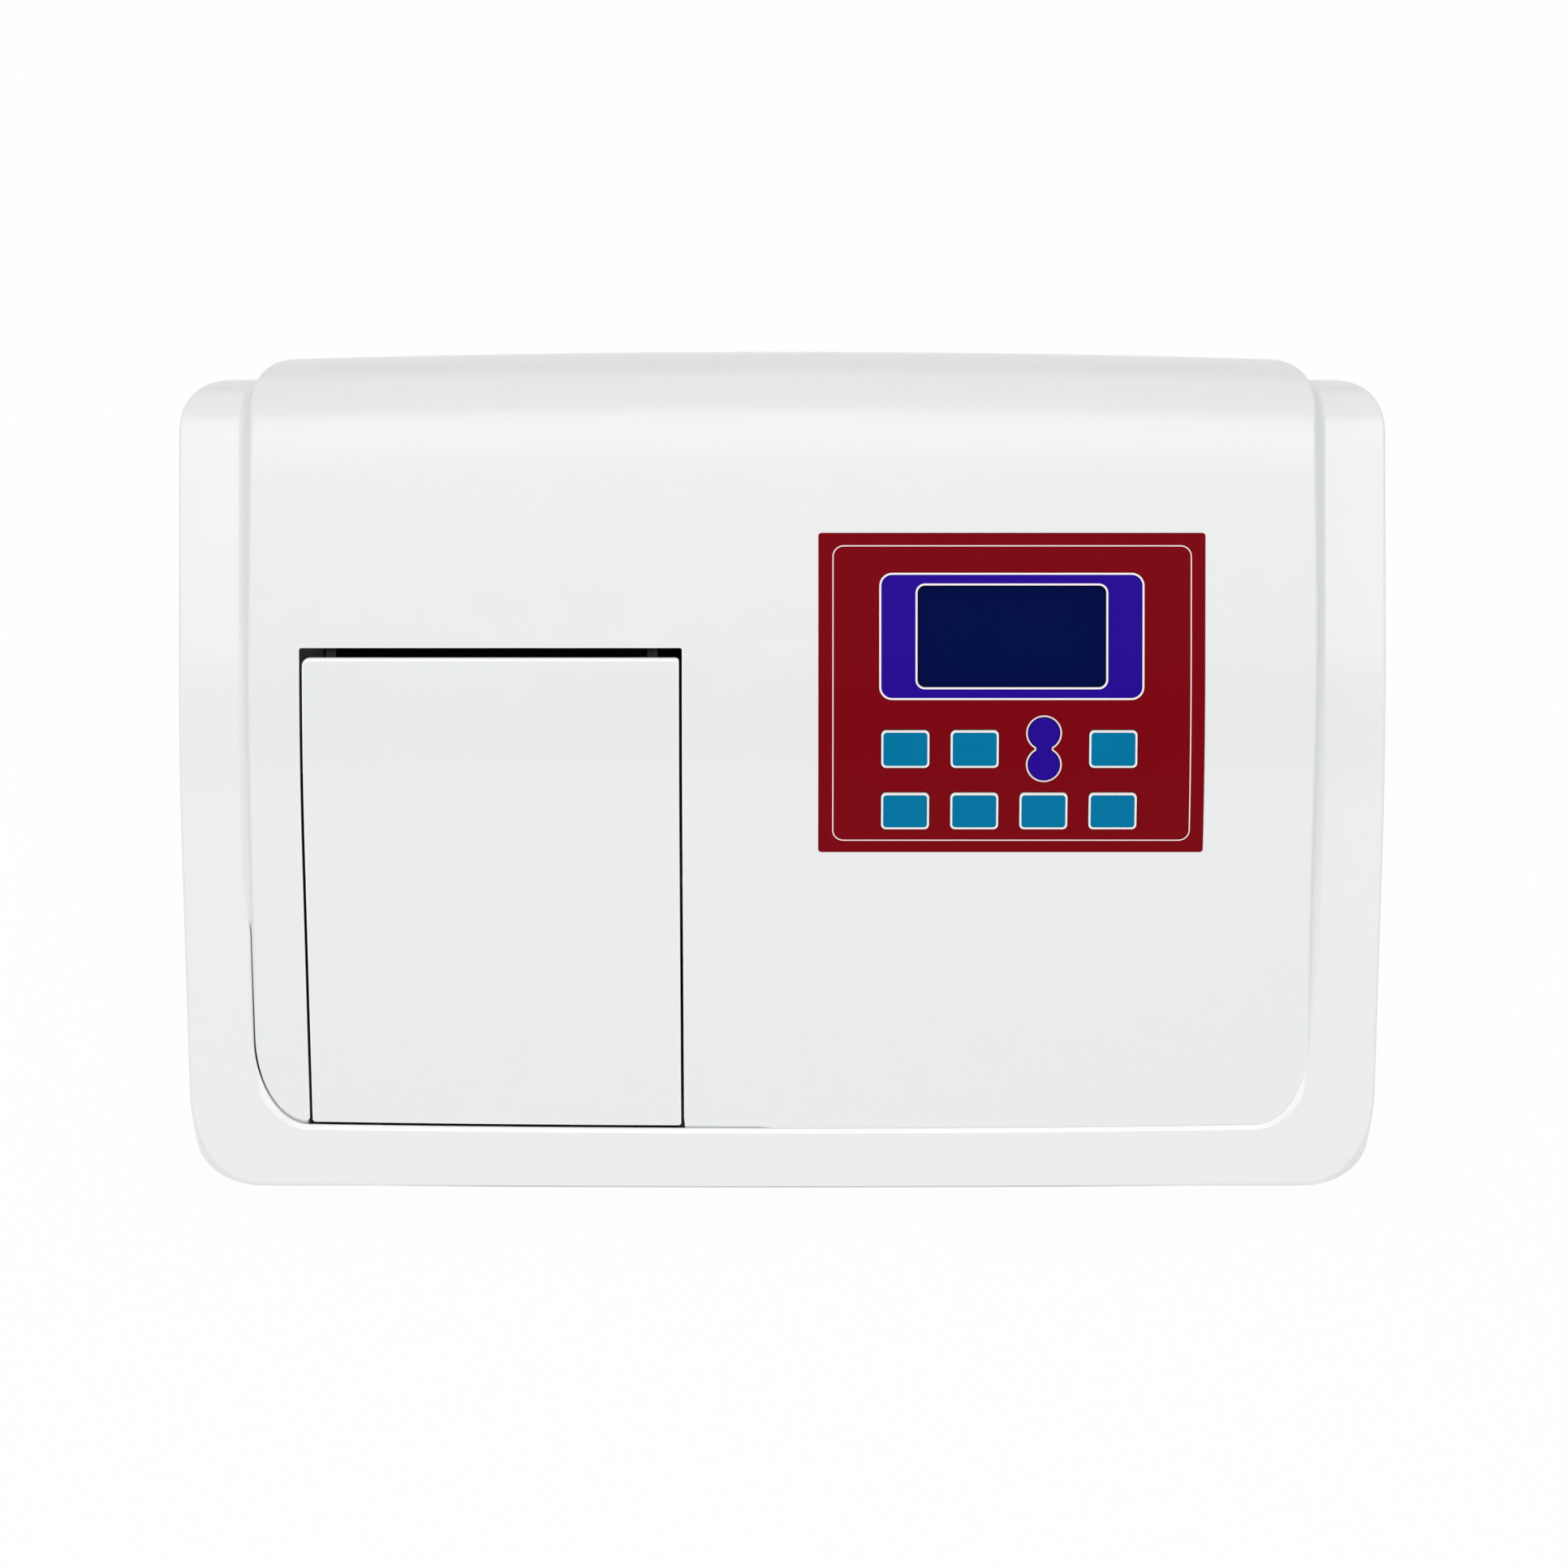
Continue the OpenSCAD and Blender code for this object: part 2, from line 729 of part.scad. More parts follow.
module rubber_feet() {
    color("black") for (x = [-190, 190], y = [-92, 92]) translate([x, y, 0]) {
        rotate_extrude() polygon([
            [0, 2.5], [foot_r - 4, 2.5], [foot_r - 4, 0], [foot_r - 1, 0], [foot_r, 1.5], [foot_r, base_z], [0, base_z]
        ]);
    }
}

// A pan head screw whose head lies below Z 0 and whose shank goes up
module screw(len) {
    translate([0, 0, -screw_head_t]) cylinder(r = screw_head_r, h = screw_head_t);
    translate([0, 0, -cut]) cylinder(r = screw_r, h = len + cut);
}

back_screws = [-145, source_x, 145];

module at_fan_corners() {
    reach = fan_side / 2 - 5;
    for (i = [-1, 1], j = [-1, 1]) translate([source_x + i * reach, 0, fan_z + j * reach]) children();
}

module at_inlet_holes() {
    for (s = [-1, 1]) translate([inlet_x + s * 20, 0, inlet_z]) children();
}

module at_mono_corners() {
    inset = 7.5;
    for (x = [mono_x0 + inset, mono_x1 - inset], y = [mono_front + inset, mono_y1 - inset])
        translate([x, y, 0]) children();
}

module case_screws() {
    color("silver") {
        at_bosses() translate([0, 0, base_z]) screw(base_t + 12);
        for (x = back_screws) translate([x, in_back, floor_z + 13]) rotate([90, 0, 0]) screw(sheet_t + 4);
        at_fan_corners() translate([0, in_back, 0]) rotate([90, 0, 0]) screw(sheet_t + fan_t + 2);
        at_inlet_holes() translate([0, in_back + flange_t, 0]) rotate([90, 0, 0]) screw(flange_t + sheet_t + 4);
        at_mono_corners() translate([0, 0, mono_z1 + mono_cover_t]) rotate([180, 0, 0]) screw(mono_cover_t + 9);
    }
}

module rear_panel() {
    color("lightgray") difference() {
        box([-back_open - panel_lap, back_open + panel_lap], [panel_y, panel_y + sheet_t],
            [floor_z, back_top + panel_lap]);
        // Power inlet, power switch and data ports
        box([inlet_x - 14.5, inlet_x + 14.5], [panel_y - cut, in_back + cut], [inlet_z - 10.5, inlet_z + 10.5]);
        box([inlet_x - rocker_w - 1, inlet_x + rocker_w + 1], [panel_y - cut, in_back + cut],
            [switch_z - 9.5, switch_z + 9.5]);
        box([port_x - 10, port_x + 10], [panel_y - cut, in_back + cut], [50, 61]);
        box([port_x + 24, port_x + 38], [panel_y - cut, in_back + cut], [49, 62]);
        // Fan grille in rings, and a field of cooling slots
        translate([source_x, panel_y - cut, fan_z]) rotate([-90, 0, 0]) for (i = [1:4]) difference() {
            cylinder(r = i * 6.4 + 1.6, h = sheet_t + 2 * cut);
            cylinder(r = i * 6.4 - 2.2, h = sheet_t + 2 * cut);
            for (a = [45, 135]) rotate(a) cube([80, 2.6, 20], center = true);
        }
        for (i = [0:4], j = [0:2]) translate([70 + i * 10, panel_y - cut, 0])
            box([-2.5, 2.5], [0, sheet_t + 2 * cut], [40 + j * 34, 66 + j * 34]);
        translate([0, panel_y - cut, 0]) {
            at_fan_corners() rotate([-90, 0, 0]) cylinder(r = screw_r + 0.3, h = sheet_t + 2 * cut);
            at_inlet_holes() rotate([-90, 0, 0]) cylinder(r = screw_r + 0.3, h = sheet_t + 2 * cut);
            for (x = back_screws) translate([x, 0, floor_z + 13]) rotate([-90, 0, 0])
                cylinder(r = screw_r + 0.3, h = sheet_t + 2 * cut);
        }
    }
}

module sample_tub() {
    color("dimgray") difference() {
        union() {
            // Full-height part, open under the lid
            intersection() {
                box([tub_x0, tub_x1], [tub_y0, tub_mid + tub_wall], [tub_z0, band_top_z]);
                across(-big, big) band_area(rim_deep);
            }
            // Low part behind, under the hinge
            box([tub_x0, tub_x1], [tub_mid, tub_back + tub_wall], [tub_z0, alcove_z + tub_wall]);
            for (x = [tub_x0 + 8, tub_x1 - 8], y = [tub_y0 + 10, tub_back - 8])
                translate([x, y, floor_z]) cylinder(r = 5, h = tub_lift + 1);
        }
        box([tub_x0 + tub_wall, tub_x1 - tub_wall], [tub_y0 + tub_wall, tub_mid], [tub_z0 + tub_wall, band_top_z]);
        box([tub_x0 + tub_wall, tub_x1 - tub_wall], [tub_mid - cut, tub_back], [tub_z0 + tub_wall, alcove_z]);
        translate([tub_x0 - cut, beam_y, beam_z]) rotate([0, 90, 0])
            cylinder(r = window_r, h = tub_x1 - tub_x0 + 2 * cut);
        translate([tub_mid_x, tub_back - cut, rod_z]) rotate([-90, 0, 0])
            cylinder(r = carriage_screw_r + 1, h = tub_wall + 2 * cut);
        for (s = [-1, 1]) translate([tub_mid_x + s * rod_x, tub_back - cut, rod_z]) rotate([-90, 0, 0])
            cylinder(r = rod_r + 0.02, h = tub_wall + 2 * cut);
    }
    // Block that carries the front ends of the rods and the screw
    color("dimgray") difference() {
        box([tub_mid_x - rod_x - 7, tub_mid_x + rod_x + 7], [rail_y, rail_y + rail_len],
            [tub_z0 + tub_wall - 0.5, rod_z + 6.5]);
        for (s = [-1, 0, 1]) translate([tub_mid_x + s * rod_x, rail_y - cut, rod_z]) rotate([-90, 0, 0])
            cylinder(r = s == 0 ? carriage_screw_r + running : rod_r + 0.02, h = rail_len + 2 * cut);
    }
}

module beam_windows() {
    glass_t = 2;
    color("lightblue") for (x = [tub_x0, tub_x1 - glass_t])
        translate([x, beam_y, beam_z]) rotate([0, 90, 0]) cylinder(r = window_r - 0.03, h = glass_t);
}

module guide_rods() {
    color("silver") for (s = [-1, 1]) translate([tub_mid_x + s * rod_x, rail_y, rod_z]) rotate([-90, 0, 0])
        cylinder(r = rod_r, h = tub_back + tub_wall - rail_y);
}

module cell_carriage() {
    well_z = beam_z - cell_beam;
    top_z = beam_z + carriage_top;
    color("black") difference() {
        union() {
            box([tub_mid_x - rod_x - 8, tub_mid_x + rod_x + 8], [carriage_y0, carriage_y1], [carriage_z0, rod_z + 5.5]);
            box([tub_mid_x - carriage_w / 2, tub_mid_x + carriage_w / 2], [carriage_y0, carriage_y1],
                [rod_z + 5, top_z]);
        }
        for (s = [-1, 0, 1]) translate([tub_mid_x + s * rod_x, carriage_y0 - cut, rod_z]) rotate([-90, 0, 0])
            cylinder(r = (s == 0 ? carriage_screw_r : rod_r) + running, h = carriage_y1 - carriage_y0 + 2 * cut);
        for (i = [0:cells - 1]) translate([tub_mid_x, rest_cell_y + i * cell_pitch, 0]) {
            box([-cell_w / 2, cell_w / 2], [-cell_w / 2, cell_w / 2], [well_z, top_z + cut]);
            translate([-carriage_w / 2 - cut, 0, beam_z]) rotate([0, 90, 0]) cylinder(r = 3.5, h = carriage_w + 2 * cut);
        }
    }
}

module carriage_screw() {
    color("silver") translate([tub_mid_x, rail_y + 1, rod_z]) rotate([-90, 0, 0]) {
        cylinder(r = carriage_screw_r, h = tub_back + tub_wall + 1 - rail_y);
    }
    color("silver") translate([tub_mid_x, tub_back + tub_wall + 0.5, rod_z]) rotate([-90, 0, 0])
        difference() {
            cylinder(r = 5, h = 6);
            translate([4, 0, 3]) rotate([0, 90, 0]) cylinder(r = 1, h = 2);
        }
}

module stepper(side, len) {
    intersection() {
        translate([-side / 2, 0, -side / 2]) cube([side, len, side]);
        rotate([-90, 0, 0]) cylinder(r = side * 0.64, h = len);
    }
}

module carriage_motor() {
    y0 = tub_back + tub_wall + 7;
    color("dimgray") union() {
        translate([tub_mid_x, y0, rod_z]) stepper(motor_side, motor_len);
        // Foot plate that stands on the base, and arms that reach the tub
        box([tub_mid_x - 12, tub_mid_x + 12], [y0 + 3, y0 + motor_len - 3], [floor_z, rod_z - motor_side / 2 + cut]);
        for (s = [-1, 1]) box([tub_mid_x + s * 11 - 1.5, tub_mid_x + s * 11 + 1.5], [tub_back + tub_wall, y0 + cut],
            [rod_z - 6, rod_z + 6]);
    }
}

detector_x1 = tub_x0;
detector_x0 = detector_x1 - detector_w;

module detector_housing() {
    y0 = beam_y - detector_len / 2;
    t = 3;
    color("gray") difference() {
        box([detector_x0, detector_x1], [y0, y0 + detector_len], [floor_z, floor_z + detector_h]);
        box([detector_x0 + t, detector_x1 - t], [y0 + t, y0 + detector_len - t], [floor_z + t, floor_z + detector_h - t]);
        translate([detector_x1 - t - cut, beam_y, beam_z]) rotate([0, 90, 0]) cylinder(r = window_r, h = t + 2 * cut);
    }
}

module photodiode() {
    t = 3;
    color("goldenrod") {
        box([detector_x0 + t, detector_x0 + t + board_t], [beam_y - 18, beam_y + 18], [beam_z - 20, beam_z + 18]);
        translate([detector_x0 + t + board_t, beam_y, beam_z]) rotate([0, 90, 0]) {
            cylinder(r = 6, h = 4);
            cylinder(r = 7.5, h = 1);
        }
    }
}

module monochromator_box() {
    color("darkgray") difference() {
        union() {
            difference() {
                box([mono_x0, mono_x1], [mono_front, mono_y1], [mono_z0, mono_z1]);
                box([mono_x0 + cast_t, mono_x1 - cast_t], [mono_front + cast_t, mono_y1 - cast_t],
                    [mono_floor, mono_z1 + cut]);
            }
            // Feet, corner bosses, table bearing and the wavelength screw's end bearing
            at_mono_corners() {
                translate([0, 0, floor_z]) cylinder(r = 6, h = mono_lift + 1);
                translate([0, 0, mono_floor - cut]) cylinder(r = 5, h = mono_z1 - mono_floor + cut);
            }
            translate([grating_x, grating_y, mono_floor - cut]) cylinder(r = 9, h = table_z - mono_floor - 0.3 + cut);
            box([wave_x - 8, wave_x + 8], [wave_end - 6, wave_end], [mono_floor - cut, arm_z + 7]);
        }
        translate([grating_x, grating_y, mono_floor - 2]) cylinder(r = 4 + running, h = table_z);
        translate([wave_x, wave_end - 6 - cut, arm_z]) rotate([-90, 0, 0])
            cylinder(r = wave_r + running, h = mono_y1 - wave_end + 8);
        // Beam holes at the exit and at the entrance
        translate([mono_x0 - cut, beam_y, beam_z]) rotate([0, 90, 0]) cylinder(r = 5, h = cast_t + 2 * cut);
        translate([source_x, mono_y1 - cast_t - cut, beam_z]) rotate([-90, 0, 0]) cylinder(r = 5, h = cast_t + 2 * cut);
        at_mono_corners() translate([0, 0, mono_z1 - 12]) cylinder(r = screw_r + running, h = 13);
    }
}

module monochromator_cover() {
    lip = 2;
    color("darkgray") difference() {
        union() {
            box([mono_x0, mono_x1], [mono_front, mono_y1], [mono_z1, mono_z1 + mono_cover_t]);
            box([mono_x0 + 22, mono_x1 - 22], [mono_front + cast_t + 0.3, mono_y1 - cast_t - 0.3],
                [mono_z1 - lip, mono_z1 + cut]);
        }
        at_mono_corners() translate([0, 0, mono_z1 - cut]) cylinder(r = screw_r + 0.2, h = 6);
    }
}

module slit_plates() {
    t = 1.2;
    color("black") {
        difference() {
            box([mono_x0 + cast_t, mono_x0 + cast_t + t], [beam_y - 9, beam_y + 9], [beam_z - 9, beam_z + 9]);
            box([mono_x0 + cast_t - cut, mono_x0 + cast_t + t + cut], [beam_y - 0.5, beam_y + 0.5],
                [beam_z - 4, beam_z + 4]);
        }
        difference() {
            box([source_x - 9, source_x + 9], [mono_y1 - cast_t - t, mono_y1 - cast_t], [beam_z - 9, beam_z + 9]);
            box([source_x - 0.5, source_x + 0.5], [mono_y1 - cast_t - t - cut, mono_y1 - cast_t + cut],
                [beam_z - 4, beam_z + 4]);
        }
    }
}

// A hollow-faced round mirror in a bracket that stands on the box's floor, facing along Y
module curved_mirror() {
    t = 8;
    sphere_r = 200;
    color("lightsteelblue") difference() {
        translate([0, 0, beam_z]) rotate([90, 0, 0]) cylinder(r = mirror_r, h = t);
        translate([0, sphere_r - 0.6, beam_z]) sphere(r = sphere_r, $fn = 256);
    }
    color("gray") difference() {
        box([-mirror_r - 1, mirror_r + 1], [-t - 4, -t], [mono_floor, beam_z + mirror_r]);
        for (s = [-1, 1]) translate([s * (mirror_r - 2), -t + cut, mono_floor + 6]) rotate([90, 0, 0])
            cylinder(r = 1.5, h = 6);
    }
}

module collimating_mirror() {
    translate([source_x, mono_front + cast_t + 18, 0]) rotate(-22.5) curved_mirror();
}

module focusing_mirror() {
    translate([mono_x1 - cast_t - 20, beam_y, 0]) rotate(69) curved_mirror();
}

module grating_table() {
    color("gray") translate([grating_x, grating_y, 0]) {
        translate([0, 0, table_z]) cylinder(r = table_r, h = 6);
        translate([0, 0, mono_floor - 1.5]) cylinder(r = 4, h = table_z - mono_floor + 2);
        // The arm narrows where the nut passes it
        box([0, arm_len - 14], [-3, 3], [arm_z - 3, arm_z + 3]);
        box([0, arm_len - 1], [-1.6, 1.6], [arm_z - 3, arm_z + 3]);
        box([-2, table_r], [-3, 3], [table_z + 2, arm_z + 3]);
        translate([arm_len, 0, arm_z]) sphere(r = ball_r);
        rotate(grating_turn) difference() {
            box([-grating_side / 2 - 2, grating_side / 2 + 2], [-1, 6], [table_z + 5, beam_z + grating_side / 2 + 2]);
            box([-grating_side / 2, grating_side / 2], [-2, 1], [beam_z - grating_side / 2, beam_z + grating_side / 2]);
        }
    }
}

module grating() {
    color("lightsteelblue") translate([grating_x, grating_y, 0]) rotate(grating_turn)
        box([-grating_side / 2 + 0.1, grating_side / 2 - 0.1], [-5, 1],
            [beam_z - grating_side / 2, beam_z + grating_side / 2 - 0.1]);
}

module wavelength_nut() {
    color("goldenrod") difference() {
        box([wave_x - wave_out - 5, wave_x + 4.6], [nut_y0, nut_y0 + nut_len], [arm_z - 6, arm_z + 6]);
        translate([wave_x, nut_y0 - cut, arm_z]) rotate([-90, 0, 0]) cylinder(r = wave_r + running, h = nut_len + 2 * cut);
    }
}

module wavelength_screw() {
    color("silver") translate([wave_x, wave_end - 5, arm_z]) rotate([-90, 0, 0]) {
        cylinder(r = wave_r, h = mono_y1 - wave_end + 6);
        translate([0, 0, mono_y1 - wave_end + 5.5]) difference() {
            cylinder(r = 6, h = 6);
            translate([4.5, 0, 3]) rotate([0, 90, 0]) cylinder(r = 1, h = 3);
        }
    }
}

module wavelength_motor() {
    y0 = mono_y1 + 8;
    color("dimgray") union() {
        translate([wave_x, y0, arm_z]) stepper(motor_side, motor_len);
        for (s = [-1, 1]) box([wave_x + s * 11 - 1.5, wave_x + s * 11 + 1.5], [mono_y1, y0 + cut], [arm_z - 6, arm_z + 6]);
    }
}

module filter_wheel() {
    color("gray") difference() {
        union() {
            translate([source_x, wheel_y - wheel_t / 2, wheel_z]) rotate([-90, 0, 0]) cylinder(r = wheel_r, h = wheel_t);
            translate([source_x, wheel_y - 2, wheel_z]) rotate([-90, 0, 0]) cylinder(r = 5, h = 4);
        }
        for (i = [0:filters - 1]) translate([source_x, wheel_y - 3, wheel_z]) rotate([0, i * 360 / filters, 0])
            translate([0, 0, -filter_ring]) rotate([-90, 0, 0]) cylinder(r = filter_r, h = 6);
        translate([source_x, wheel_y, wheel_z]) rotate([-90, 0, 0]) cylinder(r = 1.5 + 0.02, h = 6);
    }
}

module filter_glasses() {
    color("orange") for (i = [1:filters - 1]) translate([source_x, wheel_y - wheel_t / 2, wheel_z])
        rotate([0, i * 360 / filters, 0]) translate([0, 0, -filter_ring]) rotate([-90, 0, 0])
            cylinder(r = filter_r - 0.02, h = wheel_t);
}

module filter_motor() {
    color("dimgray") {
        translate([source_x, house_y0 + sheet_t, wheel_z]) rotate([-90, 0, 0]) cylinder(r = 9, h = 12);
        translate([source_x, wheel_y + 0.3, wheel_z]) rotate([-90, 0, 0]) cylinder(r = 1.5, h = house_y0 - wheel_y + 3);
    }
}

module lamp_house() {
    color("silver") difference() {
        box([house_x0, house_x0 + house_w], [house_y0, house_y1], [floor_z, floor_z + house_h]);
        box([house_x0 + sheet_t, house_x0 + house_w - sheet_t], [house_y0 + sheet_t, house_y1 - sheet_t],
            [floor_z + sheet_t, floor_z + house_h + cut]);
        translate([source_x, house_y0 - cut, beam_z]) rotate([-90, 0, 0]) cylinder(r = 8, h = sheet_t + 2 * cut);
        translate([source_x, house_y0 - cut, wheel_z]) rotate([-90, 0, 0]) cylinder(r = 3, h = sheet_t + 2 * cut);
        // Cooling slots towards the fan
        for (i = [-6:6], j = [0, 1]) box([source_x + i * 8 - 2, source_x + i * 8 + 2], [house_y1 - sheet_t - cut, house_y1 + cut],
            [32 + j * 38, 62 + j * 38]);
    }
}

lamp_floor = floor_z + sheet_t;

module deuterium_lamp() {
    color("lightyellow") translate([source_x - lamp_x, source_y, 0]) {
        translate([0, 0, lamp_floor]) cylinder(r = deuterium_r + 2, h = 6);
        translate([0, 0, lamp_floor + 5]) cylinder(r = 8, h = 16);
        translate([0, 0, lamp_floor + 20]) cylinder(r = deuterium_r, h = 44);
        translate([0, 0, lamp_floor + 64]) cylinder(r1 = deuterium_r, r2 = 4, h = 9);
        translate([0, 0, lamp_floor + 72]) cylinder(r = 3, h = 8);
    }
}

module tungsten_lamp() {
    color("lightyellow") translate([source_x + lamp_x, source_y, 0]) {
        translate([0, 0, lamp_floor]) cylinder(r = 10, h = 20);
        translate([0, 0, lamp_floor + 19]) cylinder(r = 6.5, h = 8);
        translate([0, 0, lamp_floor + 26]) cylinder(r = tungsten_r, h = 18);
        translate([0, 0, lamp_floor + 44]) sphere(r = tungsten_r);
    }
}

module source_mirror() {
    color("lightsteelblue") translate([source_x, source_y, 0]) {
        translate([0, 0, lamp_floor + 24.3]) difference() {
            cylinder(r = 7, h = 6);
            translate([0, 0, -cut]) cylinder(r = 2 + running, h = 5);
        }
        rotate(-45) difference() {
            box([-12, 12], [-1, 3], [lamp_floor + 28, beam_z + 13]);
            translate([0, -200.4, beam_z]) sphere(r = 200, $fn = 256);
        }
    }
}

module mirror_motor() {
    color("dimgray") translate([source_x, source_y, lamp_floor]) {
        cylinder(r = 11, h = 24);
        translate([0, 0, 20]) cylinder(r = 2, h = 8);
    }
}

module power_supply() {
    z0 = floor_z + 6;
    color("darkgreen") box([167, 217], [-62, 44], [z0, z0 + board_t]);
    color("gray") {
        for (x = [171, 213], y = [-58, 40]) translate([x, y, floor_z]) cylinder(r = 3, h = 6.5);
        box([171, 199], [-30, -4], [z0 + 1, z0 + 26]);
        for (i = [0:4]) box([203, 215], [-34 + i * 5, -32 + i * 5], [z0 + 1, z0 + 28]);
        box([203, 215], [-34, -12], [z0 + 1, z0 + 6]);
        for (y = [8, 30]) translate([188, y, z0 + 1]) cylinder(r = 9, h = 26);
    }
}

module transformer() {
    color("goldenrod") translate([192, 92, 0]) {
        translate([0, 0, floor_z]) cylinder(r = 27, h = 2);
        difference() {
            translate([0, 0, floor_z + 2]) cylinder(r = 26, h = 28);
            translate([0, 0, floor_z + 2.5]) cylinder(r = 8, h = 30);
        }
        translate([0, 0, floor_z + 1]) cylinder(r = 3, h = 32);
        translate([0, 0, floor_z + 30]) cylinder(r = 16, h = 2);
    }
}

board_gap = 9;
main_y = panel_y - board_gap - board_t;

module main_board() {
    color("darkgreen") box([-171, -63], [main_y, main_y + board_t], [24, 118]);
    color("dimgray") {
        for (x = [-166, -68], z = [30, 112]) translate([x, main_y + board_t, z]) rotate([-90, 0, 0])
            cylinder(r = 3, h = board_gap);
        box([-150, -122], [main_y - 4, main_y], [74, 102]);
        box([-112, -92], [main_y - 3, main_y], [80, 92]);
        for (i = [0:3]) translate([-100 + i * 7, main_y, 40]) rotate([90, 0, 0]) cylinder(r = 2.6, h = 9);
        box([-166, -156], [main_y - 8, main_y], [40, 96]);
    }
}

module data_ports() {
    color("silver") {
        // Nine-pin socket
        difference() {
            box([port_x - 9.5, port_x + 9.5], [main_y + board_t, in_back + 2], [50.5, 60.5]);
            box([port_x - 8.5, port_x + 8.5], [in_back - 4, in_back + 3], [51.5, 59.5]);
        }
        box([port_x - 8, port_x + 8], [in_back - 4.5, in_back + 1.5], [52.5, 58.5]);
        // Square socket
        difference() {
            box([port_x + 25, port_x + 37], [main_y + board_t, in_back + 1], [50, 61]);
            box([port_x + 26.5, port_x + 35.5], [in_back - 8, in_back + 2], [51, 60]);
        }
        box([port_x + 28.5, port_x + 33.5], [in_back - 8.5, in_back], [53.5, 57.5]);
    }
}

module power_inlet() {
    mouth_w = 24;
    mouth_h = 17;
    color("black") {
        difference() {
            union() {
                translate([inlet_x, in_back, inlet_z]) rotate([-90, 0, 0]) linear_extrude(flange_t)
                    key_outline(inlet_w, inlet_h, 6);
                box([inlet_x - 14, inlet_x + 14], [in_back - inlet_deep, in_back + cut], [inlet_z - 10, inlet_z + 10]);
            }
            box([inlet_x - mouth_w / 2, inlet_x + mouth_w / 2], [in_back - inlet_deep + 3, in_back + flange_t + cut],
                [inlet_z - mouth_h / 2, inlet_z + mouth_h / 2]);
            at_inlet_holes() translate([0, in_back - cut, 0]) rotate([-90, 0, 0])
                cylinder(r = screw_r + 0.3, h = flange_t + 2 * cut);
        }
    }
    color("silver") for (p = [[-7, -2], [0, 2], [7, -2]])
        box([inlet_x + p[0] - 1, inlet_x + p[0] + 1], [in_back - inlet_deep + 2, in_back - 4],
            [inlet_z + p[1] - 2, inlet_z + p[1] + 2]);
}

module switch_frame() {
    color("black") difference() {
        union() {
            box([inlet_x - rocker_w - 2.5, inlet_x + rocker_w + 2.5], [in_back, in_back + flange_t],
                [switch_z - 11, switch_z + 11]);
            box([inlet_x - rocker_w - 0.5, inlet_x + rocker_w + 0.5], [in_back - 16, in_back + cut],
                [switch_z - 9, switch_z + 9]);
        }
        box([inlet_x - rocker_w + 1, inlet_x + rocker_w - 1], [in_back - 13, in_back + 3], [switch_z - 7.5, switch_z + 7.5]);
        translate([inlet_x - rocker_w - 1, rocker_axis, switch_z]) rotate([0, 90, 0])
            cylinder(r = 1.5 + running, h = 2 * rocker_w + 2);
    }
}

module power_rocker() {
    half = rocker_w - 1.5;
    color("red") translate([inlet_x, rocker_axis, switch_z]) {
        rotate([0, 90, 0]) translate([0, 0, -half - 1.8]) cylinder(r = 1.5, h = 2 * half + 3.6);
        rotate([rocker_turn, 0, 0]) across(-half, half)
            polygon([[-5, -5], [-5, 5], [3.5, 6.3], [1.8, 0], [3.5, -6.3]]);
    }
}

module fan_frame() {
    y0 = panel_y - fan_t;
    color("black") difference() {
        union() {
            difference() {
                box([source_x - fan_side / 2, source_x + fan_side / 2], [y0, panel_y],
                    [fan_z - fan_side / 2, fan_z + fan_side / 2]);
                translate([source_x, y0 - cut, fan_z]) rotate([-90, 0, 0])
                    cylinder(r = fan_side / 2 - 1.5, h = fan_t + 2 * cut);
            }
            translate([source_x, y0, fan_z]) rotate([-90, 0, 0]) {
                cylinder(r = 12, h = 2);
                for (a = [0:3]) rotate(45 + a * 90) translate([0, -1.5, 0]) cube([fan_side / 2, 3, 2]);
                cylinder(r = 1.5, h = 8);
            }
        }
        at_fan_corners() translate([0, y0 - cut, 0]) rotate([-90, 0, 0]) cylinder(r = screw_r + 0.3, h = fan_t + 2 * cut);
    }
}

module fan_rotor() {
    y0 = panel_y - fan_t;
    blade_r = fan_side / 2 - 3;
    color("dimgray") translate([source_x, y0 + 2.4, fan_z]) rotate([-90, 0, 0]) {
        difference() {
            cylinder(r = 12, h = fan_t - 4);
            translate([0, 0, -cut]) cylinder(r = 1.5 + running, h = 8);
        }
        for (i = [0:6]) rotate(i * 360 / 7) intersection() {
            translate([0, 0, 0.5]) cylinder(r = blade_r, h = fan_t - 5);
            translate([10, 0, (fan_t - 4) / 2]) rotate([38, 0, 0]) cube([blade_r, 1.6, 2 * fan_t]);
            translate([0, -big / 2, 0]) cube([big / 2, big, fan_t]);
        }
    }
}

module keypad_overlay() {
    color([0.5, 0.03, 0.08]) difference() {
        face_sheet(-pad_proud, pad_t - pad_proud, pad_x, pad_w, -pad_bottom, pad_top, 1.3);
        screen_hole(0.3, wall + cut);
        key_holes(key_gap);
    }
}

module display_bezel() {
    bezel_t = 0.5;
    color([0.16, 0.04, 0.6]) difference() {
        on_face(pad_x, 0.001) translate([0, display_v, 0]) upright(pad_proud - 0.8, pad_proud + bezel_t)
            key_outline(bezel_w, bezel_h, 5.1);
        across(-big, big) band_area(-pad_proud);
        screen_hole(0, wall + cut);
    }
}

module lcd_module() {
    color([0, 0.05, 0.28]) on_face(pad_x, 0.001) translate([0, display_v, 0]) {
        upright(-lcd_front, -screen_deep) key_outline(screen_w + 1, screen_h + 1, 2.9);
        upright(-lcd_front - 9, -lcd_front + 0) square([84, 46], center = true);
    }
    color("darkgreen") on_face(pad_x, 0.001) translate([0, display_v, -lcd_front - board_t])
        upright(0, board_t) square([lcd_board[0], lcd_board[1]], center = true);
}

